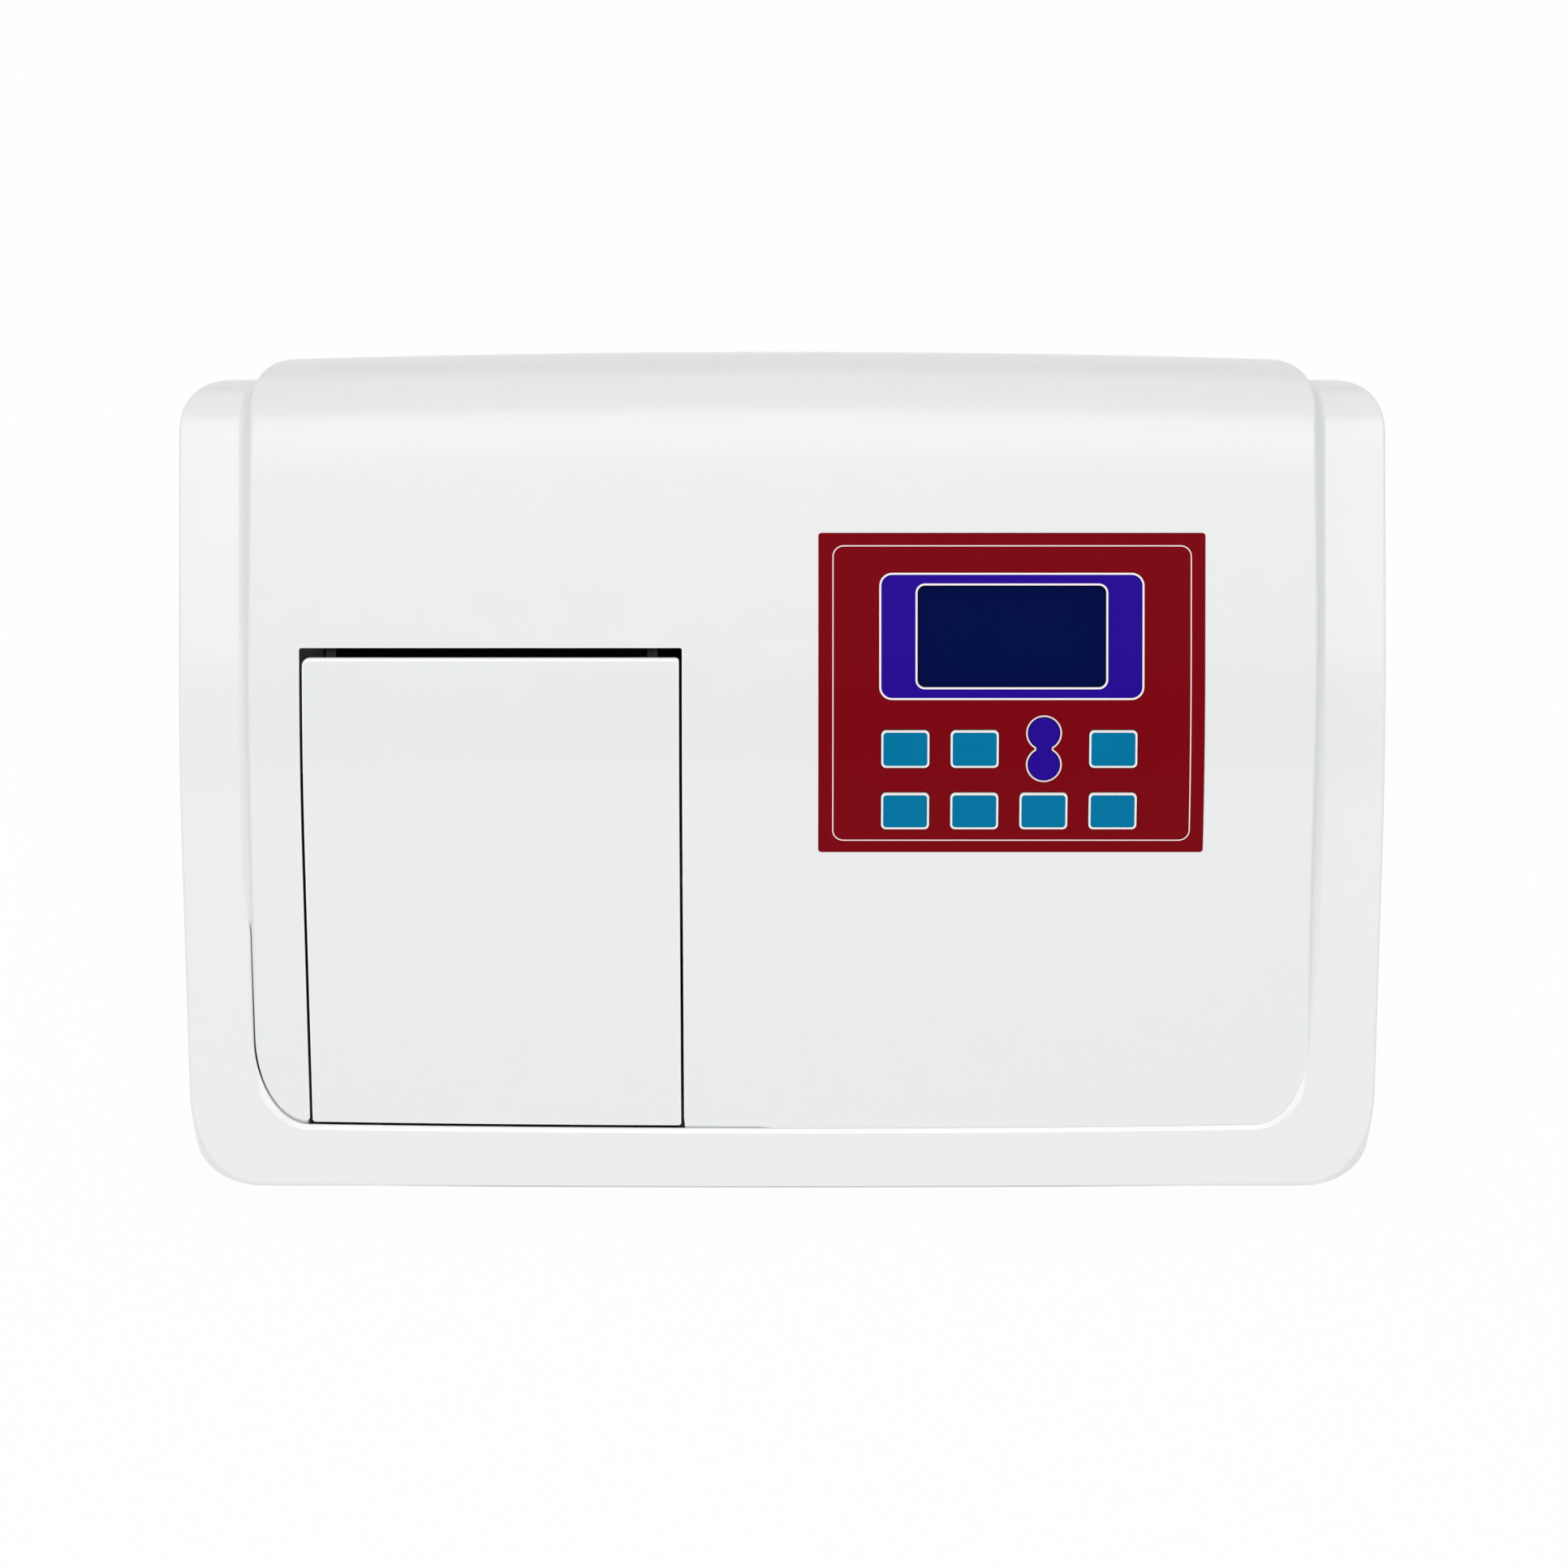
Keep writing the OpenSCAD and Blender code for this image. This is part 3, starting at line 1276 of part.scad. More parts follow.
module key_board() {
    color("darkgreen") on_face(pad_x, board_v) upright(board_z - board_t, board_z) square([150, 42], center = true);
    color("dimgray") {
        for (k = key_spots) {
            p = key_place(k[0], k[1]);
            on_face(p[0], p[1]) upright(board_z - 0.4, -switch_deep) square([6, 6], center = true);
        }
        // Two switches and the pivot under the rocker key
        r = key_place(3, 0);
        on_face(r[0], r[1]) {
            for (j = [-1, 1]) translate([0, j * lobe_pitch / 2, 0])
                upright(board_z - 0.6, -switch_deep) square([5, 5], center = true);
            upright(board_z - 0.4, -pivot_deep) square([8, 1.3], center = true);
            across(-4, 4) translate([0, -pivot_deep]) circle(r = pivot_r);
        }
    }
}

// A key: its cap, a rim that keeps it behind the band, and a stem to its switch
module key(col, row) {
    p = key_place(col, row);
    color([0, 0.45, 0.62]) on_face(p[0], p[1]) {
        upright(-wall - seat - flange, pad_proud + key_proud) key_outline(key_w, key_h, key_corner);
        upright(-wall - seat - flange, -wall - seat) key_outline(key_w + 2, key_h + 2, key_corner);
        upright(-switch_deep + key_travel + 0.1, -wall - seat) square([5, 5], center = true);
    }
}

module key_top_1() { key(1, 0); }
module key_top_2() { key(2, 0); }
module key_top_4() { key(4, 0); }
module key_low_1() { key(1, 1); }
module key_low_2() { key(2, 1); }
module key_low_3() { key(3, 1); }
module key_low_4() { key(4, 1); }

module rocker_key() {
    p = key_place(3, 0);
    color([0.16, 0.04, 0.6]) on_face(p[0], p[1]) difference() {
        union() {
            upright(-rocker_flange - flange, pad_proud + key_proud) rocker_outline(0);
            upright(-rocker_flange - flange, -rocker_flange)
                square([2 * lobe_r + 2, 2 * lobe_r + lobe_pitch + 1.5], center = true);
            for (j = [-1, 1]) translate([0, j * lobe_pitch / 2, 0])
                upright(-switch_deep + key_travel + 0.1, -rocker_flange) square([4, 4], center = true);
        }
        // Groove that rocks on the pivot's rib
        across(-4.3, 4.3) translate([0, -pivot_deep]) {
            circle(r = pivot_r + running);
            translate([-0.75, -2]) square([1.5, 2]);
        }
    }
}

outer_case();
center_cover();
sample_lid();
lid_liner();
lid_seal();
hinge_pins();
hinge_brackets();
base_plate();
rubber_feet();
case_screws();
rear_panel();
sample_tub();
beam_windows();
guide_rods();
cell_carriage();
carriage_screw();
carriage_motor();
detector_housing();
photodiode();
monochromator_box();
monochromator_cover();
slit_plates();
collimating_mirror();
focusing_mirror();
grating_table();
grating();
wavelength_nut();
wavelength_screw();
wavelength_motor();
filter_wheel();
filter_glasses();
filter_motor();
lamp_house();
deuterium_lamp();
tungsten_lamp();
source_mirror();
mirror_motor();
power_supply();
transformer();
main_board();
data_ports();
power_inlet();
switch_frame();
power_rocker();
fan_frame();
fan_rotor();
keypad_overlay();
display_bezel();
lcd_module();
key_board();
rocker_key();
key_top_1();
key_top_2();
key_top_4();
key_low_1();
key_low_2();
key_low_3();
key_low_4();
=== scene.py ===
import bpy
import numpy as np
from math import sin, cos, tan, asin, acos, sqrt, pi, radians, degrees, hypot
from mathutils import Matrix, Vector
from mathutils.geometry import delaunay_2d_cdt


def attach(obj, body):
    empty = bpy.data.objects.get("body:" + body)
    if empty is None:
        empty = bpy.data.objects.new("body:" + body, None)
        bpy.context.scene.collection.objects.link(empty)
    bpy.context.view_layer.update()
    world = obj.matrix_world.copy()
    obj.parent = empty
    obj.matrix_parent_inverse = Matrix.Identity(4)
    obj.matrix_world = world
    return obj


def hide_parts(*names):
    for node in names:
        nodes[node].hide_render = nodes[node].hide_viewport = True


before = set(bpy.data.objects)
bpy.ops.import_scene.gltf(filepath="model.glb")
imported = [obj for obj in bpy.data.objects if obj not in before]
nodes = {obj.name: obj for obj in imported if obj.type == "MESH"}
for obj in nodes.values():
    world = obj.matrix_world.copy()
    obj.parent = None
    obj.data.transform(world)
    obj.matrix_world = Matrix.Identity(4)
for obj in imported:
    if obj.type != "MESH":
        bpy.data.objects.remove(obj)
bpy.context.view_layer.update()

# Sizes, in millimetres
MM = 0.001
CASE_W, BAND_W = 476.0, 426.0
UPPER, LOWER = 28.0, 49.0
UPPER_LEN, LOWER_LEN = 87.0, 147.0
KNEE_R, WING_R, BAND_R = 215.0, 22.0, 34.0
TILT, LEVEL, BAND_FRONT_LEN = 2.3, 56.0, 26.8
FRONT_R, BACK_R, BAND_FRONT_R, BAND_BACK_R = 27.0, 33.0, 23.0, 37.0
FOOT, WALL, SEAM, SKIRT = 10.0, 3.0, 0.5, 8.0
LID_X0, LID_X1, LID_TOP, LID_GAP, LID_TOP_GAP = -189.3, -40.3, -0.5, 0.8, 3.7
PAD_X, PAD_W, PAD_TOP, PAD_BOTTOM, PAD_PROUD, PAD_T = 90.3, 152.2, 48.5, -77.5, 0.2, 0.8
DISPLAY_V, BEZEL_W, BEZEL_H, SCREEN_W, SCREEN_H = 7.8, 104.3, 50.0, 74.2, 40.0
KEY_X, KEY_PITCH, KEY_W, KEY_H = 48.5, 27.3, 19.0, 15.0
ROWS = (-36.5, -61.0)
LOBE_R, LOBE_PITCH, WAIST = 6.1, 12.6, 5.4
DRAFT = tan(radians(18))
# Bow of the band's top edge across the width
CROWN = 1 / 15000


def along(a):
    return Vector((cos(radians(a)), sin(radians(a))))


def outward(a):
    return Vector((-sin(radians(a)), cos(radians(a))))


level = LEVEL * along(LOWER)
knee_raw = level + (LOWER_LEN - LEVEL) * along(LOWER + TILT) - KNEE_R * outward(LOWER + TILT)
bend_raw = knee_raw + (KNEE_R - BAND_R) * outward(UPPER + TILT) + UPPER_LEN * along(UPPER + TILT)
DEPTH = bend_raw.x + BAND_R
front = Vector((-DEPTH / 2, FOOT))
BACK_Y = DEPTH / 2
BAND_FRONT = (front + level - BAND_FRONT_LEN * along(LOWER + TILT)).x


class Profile:
    """The side outline of a face: lower face, knee, upper face, top bend and back.

    S runs up along it from the knee's upper end.
    """

    def __init__(self, knee, bend, bend_r, lower, upper, blend):
        self.knee, self.bend, self.bend_r, self.lower, self.upper = knee, bend, bend_r, lower, upper
        self.blend = blend
        self.s_low = -KNEE_R * radians(lower - upper)
        self.s_back = UPPER_LEN + bend_r * radians(90 + upper)
        self.top = knee + KNEE_R * outward(upper)
        self.low = knee + KNEE_R * outward(lower)

    def at(self, s):
        if s < self.s_low:
            return self.low + (s - self.s_low) * along(self.lower), outward(self.lower)
        if s < 0:
            n = outward(self.upper + degrees(-s / KNEE_R))
            return self.knee + KNEE_R * n, n
        if s < UPPER_LEN:
            return self.top + s * along(self.upper), outward(self.upper)
        if s < self.s_back:
            n = outward(self.upper - degrees((s - UPPER_LEN) / self.bend_r))
            return self.bend + self.bend_r * n, n
        return Vector((self.bend.x + self.bend_r, self.bend.y - (s - self.s_back))), Vector((1, 0))

    def shade(self, s):
        """The normal that the light sees: it begins to turn a little before the bend, as on a moulding."""
        t = s - UPPER_LEN + self.blend
        if not 0 < t < 2 * self.blend:
            return self.at(s)[1]
        return outward(self.upper - degrees(t * t / (4 * self.blend * self.bend_r)))

    def s_of_y(self, y):
        if y < self.low.x:
            return self.s_low + (y - self.low.x) / cos(radians(self.lower))
        if y < self.top.x:
            return -KNEE_R * (asin(min(1, (self.knee.x - y) / KNEE_R)) - radians(self.upper))
        if y < self.bend.x - self.bend_r * sin(radians(self.upper)):
            return (y - self.top.x) / cos(radians(self.upper))
        k = max(-1.0, min(1.0, (self.bend.x - y) / self.bend_r))
        return UPPER_LEN + self.bend_r * (radians(self.upper) - asin(k))

    def z_of_y(self, y):
        return self.at(self.s_of_y(y))[0].y


band_profile = Profile(front + knee_raw, front + bend_raw, BAND_R, LOWER + TILT, UPPER + TILT, 14.0)
wing_knee = front + LOWER_LEN * along(LOWER) - KNEE_R * outward(LOWER)
wing_bend = wing_knee + (KNEE_R - WING_R) * outward(UPPER) + UPPER_LEN * along(UPPER)
wing_profile = Profile(wing_knee, wing_bend, WING_R, LOWER, UPPER, 10.0)
WING_BACK = wing_bend.x + WING_R


class Face:
    """A face bent along a profile, as a flat map of x and q.

    A crown bows its top bend forward towards the ends.
    """

    def __init__(self, profile, crown=0.0):
        self.p, self.crown = profile, crown
        self.cos_u, self.sin_u = cos(radians(profile.upper)), sin(radians(profile.upper))

    def slip(self, x):
        return self.crown * x * x / self.cos_u

    def at(self, x, q, depth=0.0):
        c = self.slip(x)
        if 0 < q < UPPER_LEN:
            p, n = self.p.at(q * (1 - c / UPPER_LEN))
        else:
            p, n = self.p.at(q)
            if q >= UPPER_LEN:
                p = p - c * along(self.p.upper)
        return Vector((x, p.x - depth * n.x, p.y - depth * n.y))

    def normal(self, x, q):
        n = self.p.shade(q)
        return Vector((0, n.x, n.y))

    def q_of_v(self, x, v):
        return v / (1 - self.slip(x) / UPPER_LEN) if v > 0 else v

    def q_of_y(self, x, y):
        c = self.slip(x)
        s = self.p.s_of_y(y + c * self.cos_u)
        if s >= UPPER_LEN:
            return s
        return self.q_of_v(x, self.p.s_of_y(y))

    def q_of_z(self, x, z):
        return self.p.s_back + self.p.bend.y - self.slip(x) * self.sin_u - z


class Flat:
    """A flat face in the frame of the band at [x, v], raised by h, with a shallow dish."""

    def __init__(self, x, v, h, size=(1, 1), dish=0.0):
        s = arc(v)
        p, n = band_profile.at(s)
        self.o = Vector((x, p.x, p.y))
        self.n = Vector((0, n.x, n.y))
        self.t = Vector((0, n.y, -n.x))
        self.h, self.size, self.dish = h, size, dish

    def sag(self, x, q):
        a, b = min(1, abs(x / self.size[0])), min(1, abs(q / self.size[1]))
        return self.dish * (1 - a ** 4) * (1 - b ** 4)

    def at(self, x, q, depth=0.0):
        return self.o + Vector((x, 0, 0)) + q * self.t + (self.h - self.sag(x, q) - depth) * self.n

    def normal(self, x, q):
        e = 0.05
        dx = (self.sag(x + e, q) - self.sag(x - e, q)) / (2 * e)
        dq = (self.sag(x, q + e) - self.sag(x, q - e)) / (2 * e)
        return (self.n + Vector((dx, 0, 0)) + dq * self.t).normalized()


def arc(v):
    return v if v > 0 else -KNEE_R * asin(-v / KNEE_R)


band = Face(band_profile, CROWN)
band_flat = Face(band_profile)
wing = Face(wing_profile)


# Mesh building
class Skin:
    """A mesh in millimetres, gathered face by face, with a normal for each corner."""

    def __init__(self):
        self.points, self.keys, self.faces, self.normals, self.mats, self.seen = [], {}, [], [], [], set()

    def vert(self, p):
        k = (round(p[0], 4), round(p[1], 4), round(p[2], 4))
        if k not in self.keys:
            self.keys[k] = len(self.points)
            self.points.append((p[0] * MM, p[1] * MM, p[2] * MM))
        return self.keys[k]

    def face(self, pts, nrm, mat=0):
        ids, ns = [], []
        for p, n in zip(pts, nrm):
            i = self.vert(p)
            if i not in ids:
                ids.append(i)
                ns.append(n)
        key = frozenset(ids)
        if len(ids) < 3 or key in self.seen:
            return
        self.seen.add(key)
        self.faces.append(ids)
        self.normals += ns
        self.mats.append(mat)

    def make(self, name, mats, body, slot, *replaced):
        me = bpy.data.meshes.new(name)
        me.from_pydata(self.points, [], self.faces)
        me.polygons.foreach_set("use_smooth", [True] * len(self.faces))
        me.polygons.foreach_set("material_index", self.mats)
        for m in mats:
            me.materials.append(m)
        me.update()
        me.normals_split_custom_set([tuple(n) for n in self.normals])
        ob = bpy.data.objects.new(name, me)
        bpy.context.scene.collection.objects.link(ob)
        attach(ob, body)
        if replaced:
            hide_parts(*replaced)
        return ob


def inside(pts, loops):
    """Tells for each point whether it lies inside an odd number of the loops."""
    pts = np.asarray(pts, float)
    odd = np.zeros(len(pts), bool)
    for lp in loops:
        a = np.asarray(lp, float)
        b = np.roll(a, -1, 0)
        for (x0, y0), (x1, y1) in zip(a, b):
            if y0 == y1:
                continue
            level_hit = (y0 > pts[:, 1]) != (y1 > pts[:, 1])
            odd ^= level_hit & (pts[:, 0] < (x1 - x0) * (pts[:, 1] - y0) / (y1 - y0) + x0)
    return odd


# How far a sheet's inner points stay from its loops
END_GAP = 2


def sheet(skin, surf, depth, loops, qs, xs, flip=False, marks=(), mats=(0, 0)):
    """Fills the loops of [x, q] with triangles along the lines of equal q, and lays them on the face."""
    verts, edges = [], []

    def add_loop(lp):
        base = len(verts)
        verts.extend(tuple(p) for p in lp)
        edges.extend((base + i, base + (i + 1) % len(lp)) for i in range(len(lp)))

    for lp in loops:
        add_loop(lp)
    rim = len(verts)
    spans = []
    for g in qs:
        on = sorted((verts[i][0], i) for i in range(rim) if abs(verts[i][1] - g) < 1e-6)
        spans += [(g, a, b) for a, b in zip(on, on[1:]) if b[0] - a[0] > 1e-4]
    keep = inside([((a[0] + b[0]) / 2, g) for g, a, b in spans], loops) if spans else []
    for (g, a, b), ok in zip(spans, keep):
        if not ok:
            continue
        last = a[1]
        for x in xs:
            if a[0] + END_GAP < x < b[0] - END_GAP:
                verts.append((x, g))
                edges.append((last, len(verts) - 1))
                last = len(verts) - 1
        edges.append((last, b[1]))
    for lp in marks:
        add_loop(lp)
    out, _, tris, _, _, _ = delaunay_2d_cdt([Vector(v) for v in verts], edges, [], 0, 1e-7)
    mids = np.array([[sum(out[i][k] for i in t) / 3 for k in (0, 1)] for t in tris])
    ok = inside(mids, loops)
    odd = inside(mids, marks) if marks else np.zeros(len(mids), bool)
    place = [surf.at(v[0], v[1], depth) for v in out]
    norm = [surf.normal(v[0], v[1]) * (-1 if flip else 1) for v in out]
    for t, good, m in zip(tris, ok, odd):
        if not good:
            continue
        a, b, c = (out[i] for i in t)
        turn = (b[0] - a[0]) * (c[1] - a[1]) - (b[1] - a[1]) * (c[0] - a[0])
        if abs(turn) < 1e-9:
            continue
        order = list(t) if (turn > 0) != flip else list(reversed(t))
        skin.face([place[i] for i in order], [norm[i] for i in order], mats[1] if m else mats[0])


def offsets(pts):
    """The outward normal at each corner, long enough that an offset keeps its distance from both sides."""
    n = len(pts)
    out = []
    for i in range(n):
        a, b, c = pts[i - 1], pts[i], pts[(i + 1) % n]
        d1 = Vector((b[0] - a[0], b[1] - a[1])).normalized()
        d2 = Vector((c[0] - b[0], c[1] - b[1])).normalized()
        n1, n2 = Vector((d1.y, -d1.x)), Vector((d2.y, -d2.x))
        out.append((n1 + n2) / max(0.35, 1 + n1.dot(n2)))
    return out


# Points of a rim between its two sheets, and how many of its rows can have the second material, a lighter
# white painted as a highlight
ROWS_N, LIT_ROWS = 11, 4
# The rows of a plain rim that are shaded round
ROUND_ROWS = {0, 1, 2, 3, 4}


def shell(skin, surf, loops, t_depth, qs, xs=(), marks=(), mats=(0, 0)):
    """A closed shell: a sheet on the face, a rim along each loop, and a sheet on the inner side.

    A loop is a dict: pts, a list of columns that begin with x and q; r, t, functions of a column for
    the sheet's inset and for the inner sheet's inset; rows, a function of the column and its normal
    that gives the rim's points; smooth, the rim's rows that are shaded round; mat, the rim's material;
    lit, a function that tells where the rim's first rows have the second material, which on the case, cover
    and lid is a lighter white painted as a highlight.
    """
    def edge(c, n, f):
        return c[1] - f(c) * n.y

    tops, inners = [], []
    for lp in loops:
        cols = [tuple(c) for c in lp["pts"]]
        nrm = offsets(cols)
        full = []
        for i in range(len(cols)):
            j = (i + 1) % len(cols)
            c0, c1, n0, n1 = cols[i], cols[j], nrm[i], nrm[j]
            cuts = {0.0}
            for f in (lp["r"], lp["t"]):
                a, b = edge(c0, n0, f), edge(c1, n1, f)
                for g in qs:
                    if (a - g) * (b - g) < 0:
                        cuts.add((g - a) / (b - a))
            for u in sorted(cuts):
                c = tuple(p + (q - p) * u for p, q in zip(c0, c1))
                full.append((c, n0 + (n1 - n0) * u))
        rim = []
        top, inn = [], []
        for c, n in full:
            r, t = lp["r"](c), lp["t"](c)
            a = [c[0] - r * n.x, c[1] - r * n.y]
            d = [c[0] - t * n.x, c[1] - t * n.y]
            for p in (a, d):
                for g in qs:
                    if abs(p[1] - g) < 1e-5:
                        p[1] = g
            top.append(tuple(a))
            inn.append(tuple(d))
            rim.append([surf.at(*a)] + lp["rows"](c, n, surf) + [surf.at(d[0], d[1], t_depth)])
        tops.append(top)
        inners.append(inn)
        P = np.array([[tuple(p) for p in r] for r in rim])
        T = np.roll(P, -1, 0) - np.roll(P, 1, 0)
        S = P[:, 1:] - P[:, :-1]
        N = np.cross(S, (T[:, 1:] + T[:, :-1]) / 2)
        size = np.linalg.norm(N, axis=2)
        for j in range(N.shape[1]):
            weak = size[:, j] < 1e-7
            N[~weak, j] /= size[~weak, j][:, None]
            if j:
                N[weak, j] = N[weak, j - 1]
            else:
                for i in np.nonzero(weak)[0]:
                    N[i, j] = tuple(surf.normal(*top[i]))
        smooth = lp["smooth"]
        lo, hi = N.copy(), N.copy()
        for j in range(N.shape[1]):
            if j == 0 and 0 in smooth:
                lo[:, 0] = [tuple(surf.normal(*p)) for p in top]
            elif j in smooth:
                mid = N[:, j - 1] + N[:, j]
                mid /= np.maximum(1e-9, np.linalg.norm(mid, axis=1))[:, None]
                lo[:, j] = mid
                hi[:, j - 1] = mid
        n_cols = len(rim)
        wall_mat = lp.get("mat", 0)
        lit = lp.get("lit", lambda c: False)
        light = [lit(c) for c, _ in full]
        for i in range(n_cols):
            k = (i + 1) % n_cols
            for j in range(N.shape[1]):
                mat = 1 if j < LIT_ROWS and light[i] and light[k] else wall_mat
                skin.face([P[i, j], P[i, j + 1], P[k, j + 1], P[k, j]],
                          [lo[i, j], hi[i, j], hi[k, j], lo[k, j]], mat)
    sheet(skin, surf, 0.0, tops, qs, xs, marks=marks, mats=mats)
    sheet(skin, surf, t_depth, inners, qs, xs, flip=True)


def bezier(a, e, c):
    """Four points of the rounding from a to c at the edge e, without a itself."""
    return [(1 - u) ** 2 * a + 2 * u * (1 - u) * e + u * u * c for u in (0.25, 0.5, 0.75, 1.0)]


def straight(r, w, t=0.0):
    """A rim that goes straight into the face: rounded by r, w deep and t thick."""
    def rows(c, n, surf):
        depth = w(c) if callable(w) else w
        rad = r(c) if callable(r) else r
        e = surf.at(c[0], c[1])
        a = surf.at(c[0] - rad * n.x, c[1] - rad * n.y)
        deep = min(rad, 0.45 * depth)
        out = bezier(a, e, surf.at(c[0], c[1], deep))
        more = ROWS_N - 1 - len(out)
        out += [surf.at(c[0], c[1], deep + (depth - deep) * (i + 1) / more) for i in range(more)]
        out.append(surf.at(c[0] - t * n.x, c[1] - t * n.y, depth))
        return out
    return rows


def loop(pts, r, w, mat=0):
    """An outline with a plain rim: rounded by r and w deep."""
    return {"pts": pts, "r": lambda c: r, "t": lambda c: 0.0, "rows": straight(r, w),
            "smooth": ROUND_ROWS, "mat": mat}


def hole(pts, **kw):
    return loop(list(reversed(pts)), **kw)


def round_rect(x0, x1, q0, q1, r, n=8, step=None, q_of=None):
    """A counter-clockwise rectangle with round corners; r is one radius, or four from the lower left."""
    rs = r if isinstance(r, (list, tuple)) else (r,) * 4
    pts = []
    spots = ((x0, q0, 1, 1, 180, rs[0]), (x1, q0, -1, 1, 270, rs[1]),
             (x1, q1, -1, -1, 0, rs[2]), (x0, q1, 1, -1, 90, rs[3]))
    for x, q, sx, sq, a0, rr in spots:
        for i in range(n + 1):
            a = radians(a0 + 90 * i / n)
            pts.append((x + sx * rr + rr * cos(a), q + sq * rr + rr * sin(a)))
    if step:
        pts = refine(pts, step)
    if q_of:
        pts = [(x, q_of(x, q)) for x, q in pts]
    return pts


def refine(pts, step):
    """The loop with its long sides cut into pieces of about one step."""
    out = []
    for p, q in zip(pts, pts[1:] + pts[:1]):
        n = max(1, int(hypot(q[0] - p[0], q[1] - p[1]) / step))
        out += [tuple(a + (b - a) * i / n for a, b in zip(p, q)) for i in range(n)]
    return out


def eight(d):
    """The outline of the rocker key, two round ends and a waist, grown by d."""
    r, h, w = LOBE_R + d, LOBE_PITCH / 2, WAIST / 2 + d
    a = acos(w / r)
    lower = [(r * cos(t), -h + r * sin(t)) for t in np.linspace(pi - a, 2 * pi + a, 40)]
    upper = [(r * cos(t), h + r * sin(t)) for t in np.linspace(-a, pi + a, 40)]
    return [(float(x), float(q)) for x, q in lower + upper]


def steps(a, b, d):
    n = max(1, int(round((b - a) / d)))
    return [a + (b - a) * i / n for i in range(n + 1)]


def bend_lines(profile, d):
    """The lines of equal q from the blend before the bend up to the back, d apart on the bend."""
    return steps(UPPER_LEN - profile.blend, UPPER_LEN, 2.4)[:-1] + steps(UPPER_LEN, profile.s_back, d)


# The lines of equal q that the sheets' triangles follow
Q_FRONT = band_profile.s_of_y(BAND_FRONT)
LOWER_QS = [Q_FRONT + 12, Q_FRONT + 30] + steps(band_profile.s_low, 0, 3.0)
BAND_QS = LOWER_QS + [22, 44, 60] + bend_lines(band_profile, 2.4)
WING_QS = steps(wing_profile.s_low, 0, 3.0) + [44] + bend_lines(wing_profile, 1.6)


# Materials
def link(nt, a, b):
    nt.links.new(a, b)


def put(node, values):
    for key, value in values.items():
        node.inputs[key].default_value = value


def srgb(r, g, b):
    def f(c):
        c /= 255
        return c / 12.92 if c <= 0.04045 else ((c + 0.055) / 1.055) ** 2.4
    return (f(r), f(g), f(b), 1.0)


def material(name, color, rough=0.5, metal=0.0, grain=0.0, grain_scale=1800, mottle=0.02, spread=0.06,
             spread_scale=45, stretch=None, spec=0.5, ior=1.5, glass=0.0):
    """A surface whose roughness and tone vary softly, with a fine grain in its bump."""
    m = bpy.data.materials.new(name)
    m.use_nodes = True
    nt = m.node_tree
    b = nt.nodes["Principled BSDF"]
    put(b, {"Metallic": metal, "IOR": ior, "Specular IOR Level": spec, "Transmission Weight": glass})
    tc = nt.nodes.new("ShaderNodeTexCoord")
    coord = tc.outputs["Object"]
    if stretch:
        mp = nt.nodes.new("ShaderNodeMapping")
        put(mp, {"Scale": stretch})
        link(nt, coord, mp.inputs["Vector"])
        coord = mp.outputs["Vector"]
    big = nt.nodes.new("ShaderNodeTexNoise")
    put(big, {"Scale": spread_scale, "Detail": 4})
    link(nt, coord, big.inputs["Vector"])
    rr = nt.nodes.new("ShaderNodeMapRange")
    put(rr, {"From Min": 0.3, "From Max": 0.7,
             "To Min": max(0.02, rough - spread), "To Max": min(1.0, rough + spread)})
    link(nt, big.outputs["Fac"], rr.inputs["Value"])
    link(nt, rr.outputs["Result"], b.inputs["Roughness"])
    if mottle:
        ramp = nt.nodes.new("ShaderNodeMix")
        ramp.data_type = "RGBA"
        ramp.inputs["A"].default_value = tuple(c * (1 - mottle) for c in color[:3]) + (1,)
        ramp.inputs["B"].default_value = tuple(min(1, c * (1 + mottle)) for c in color[:3]) + (1,)
        link(nt, big.outputs["Fac"], ramp.inputs["Factor"])
        link(nt, ramp.outputs["Result"], b.inputs["Base Color"])
    else:
        put(b, {"Base Color": color})
    if grain:
        fine = nt.nodes.new("ShaderNodeTexNoise")
        put(fine, {"Scale": grain_scale, "Detail": 3})
        link(nt, coord, fine.inputs["Vector"])
        bump = nt.nodes.new("ShaderNodeBump")
        put(bump, {"Strength": grain, "Distance": 0.0002})
        link(nt, fine.outputs["Fac"], bump.inputs["Height"])
        link(nt, bump.outputs["Normal"], b.inputs["Normal"])
    return m


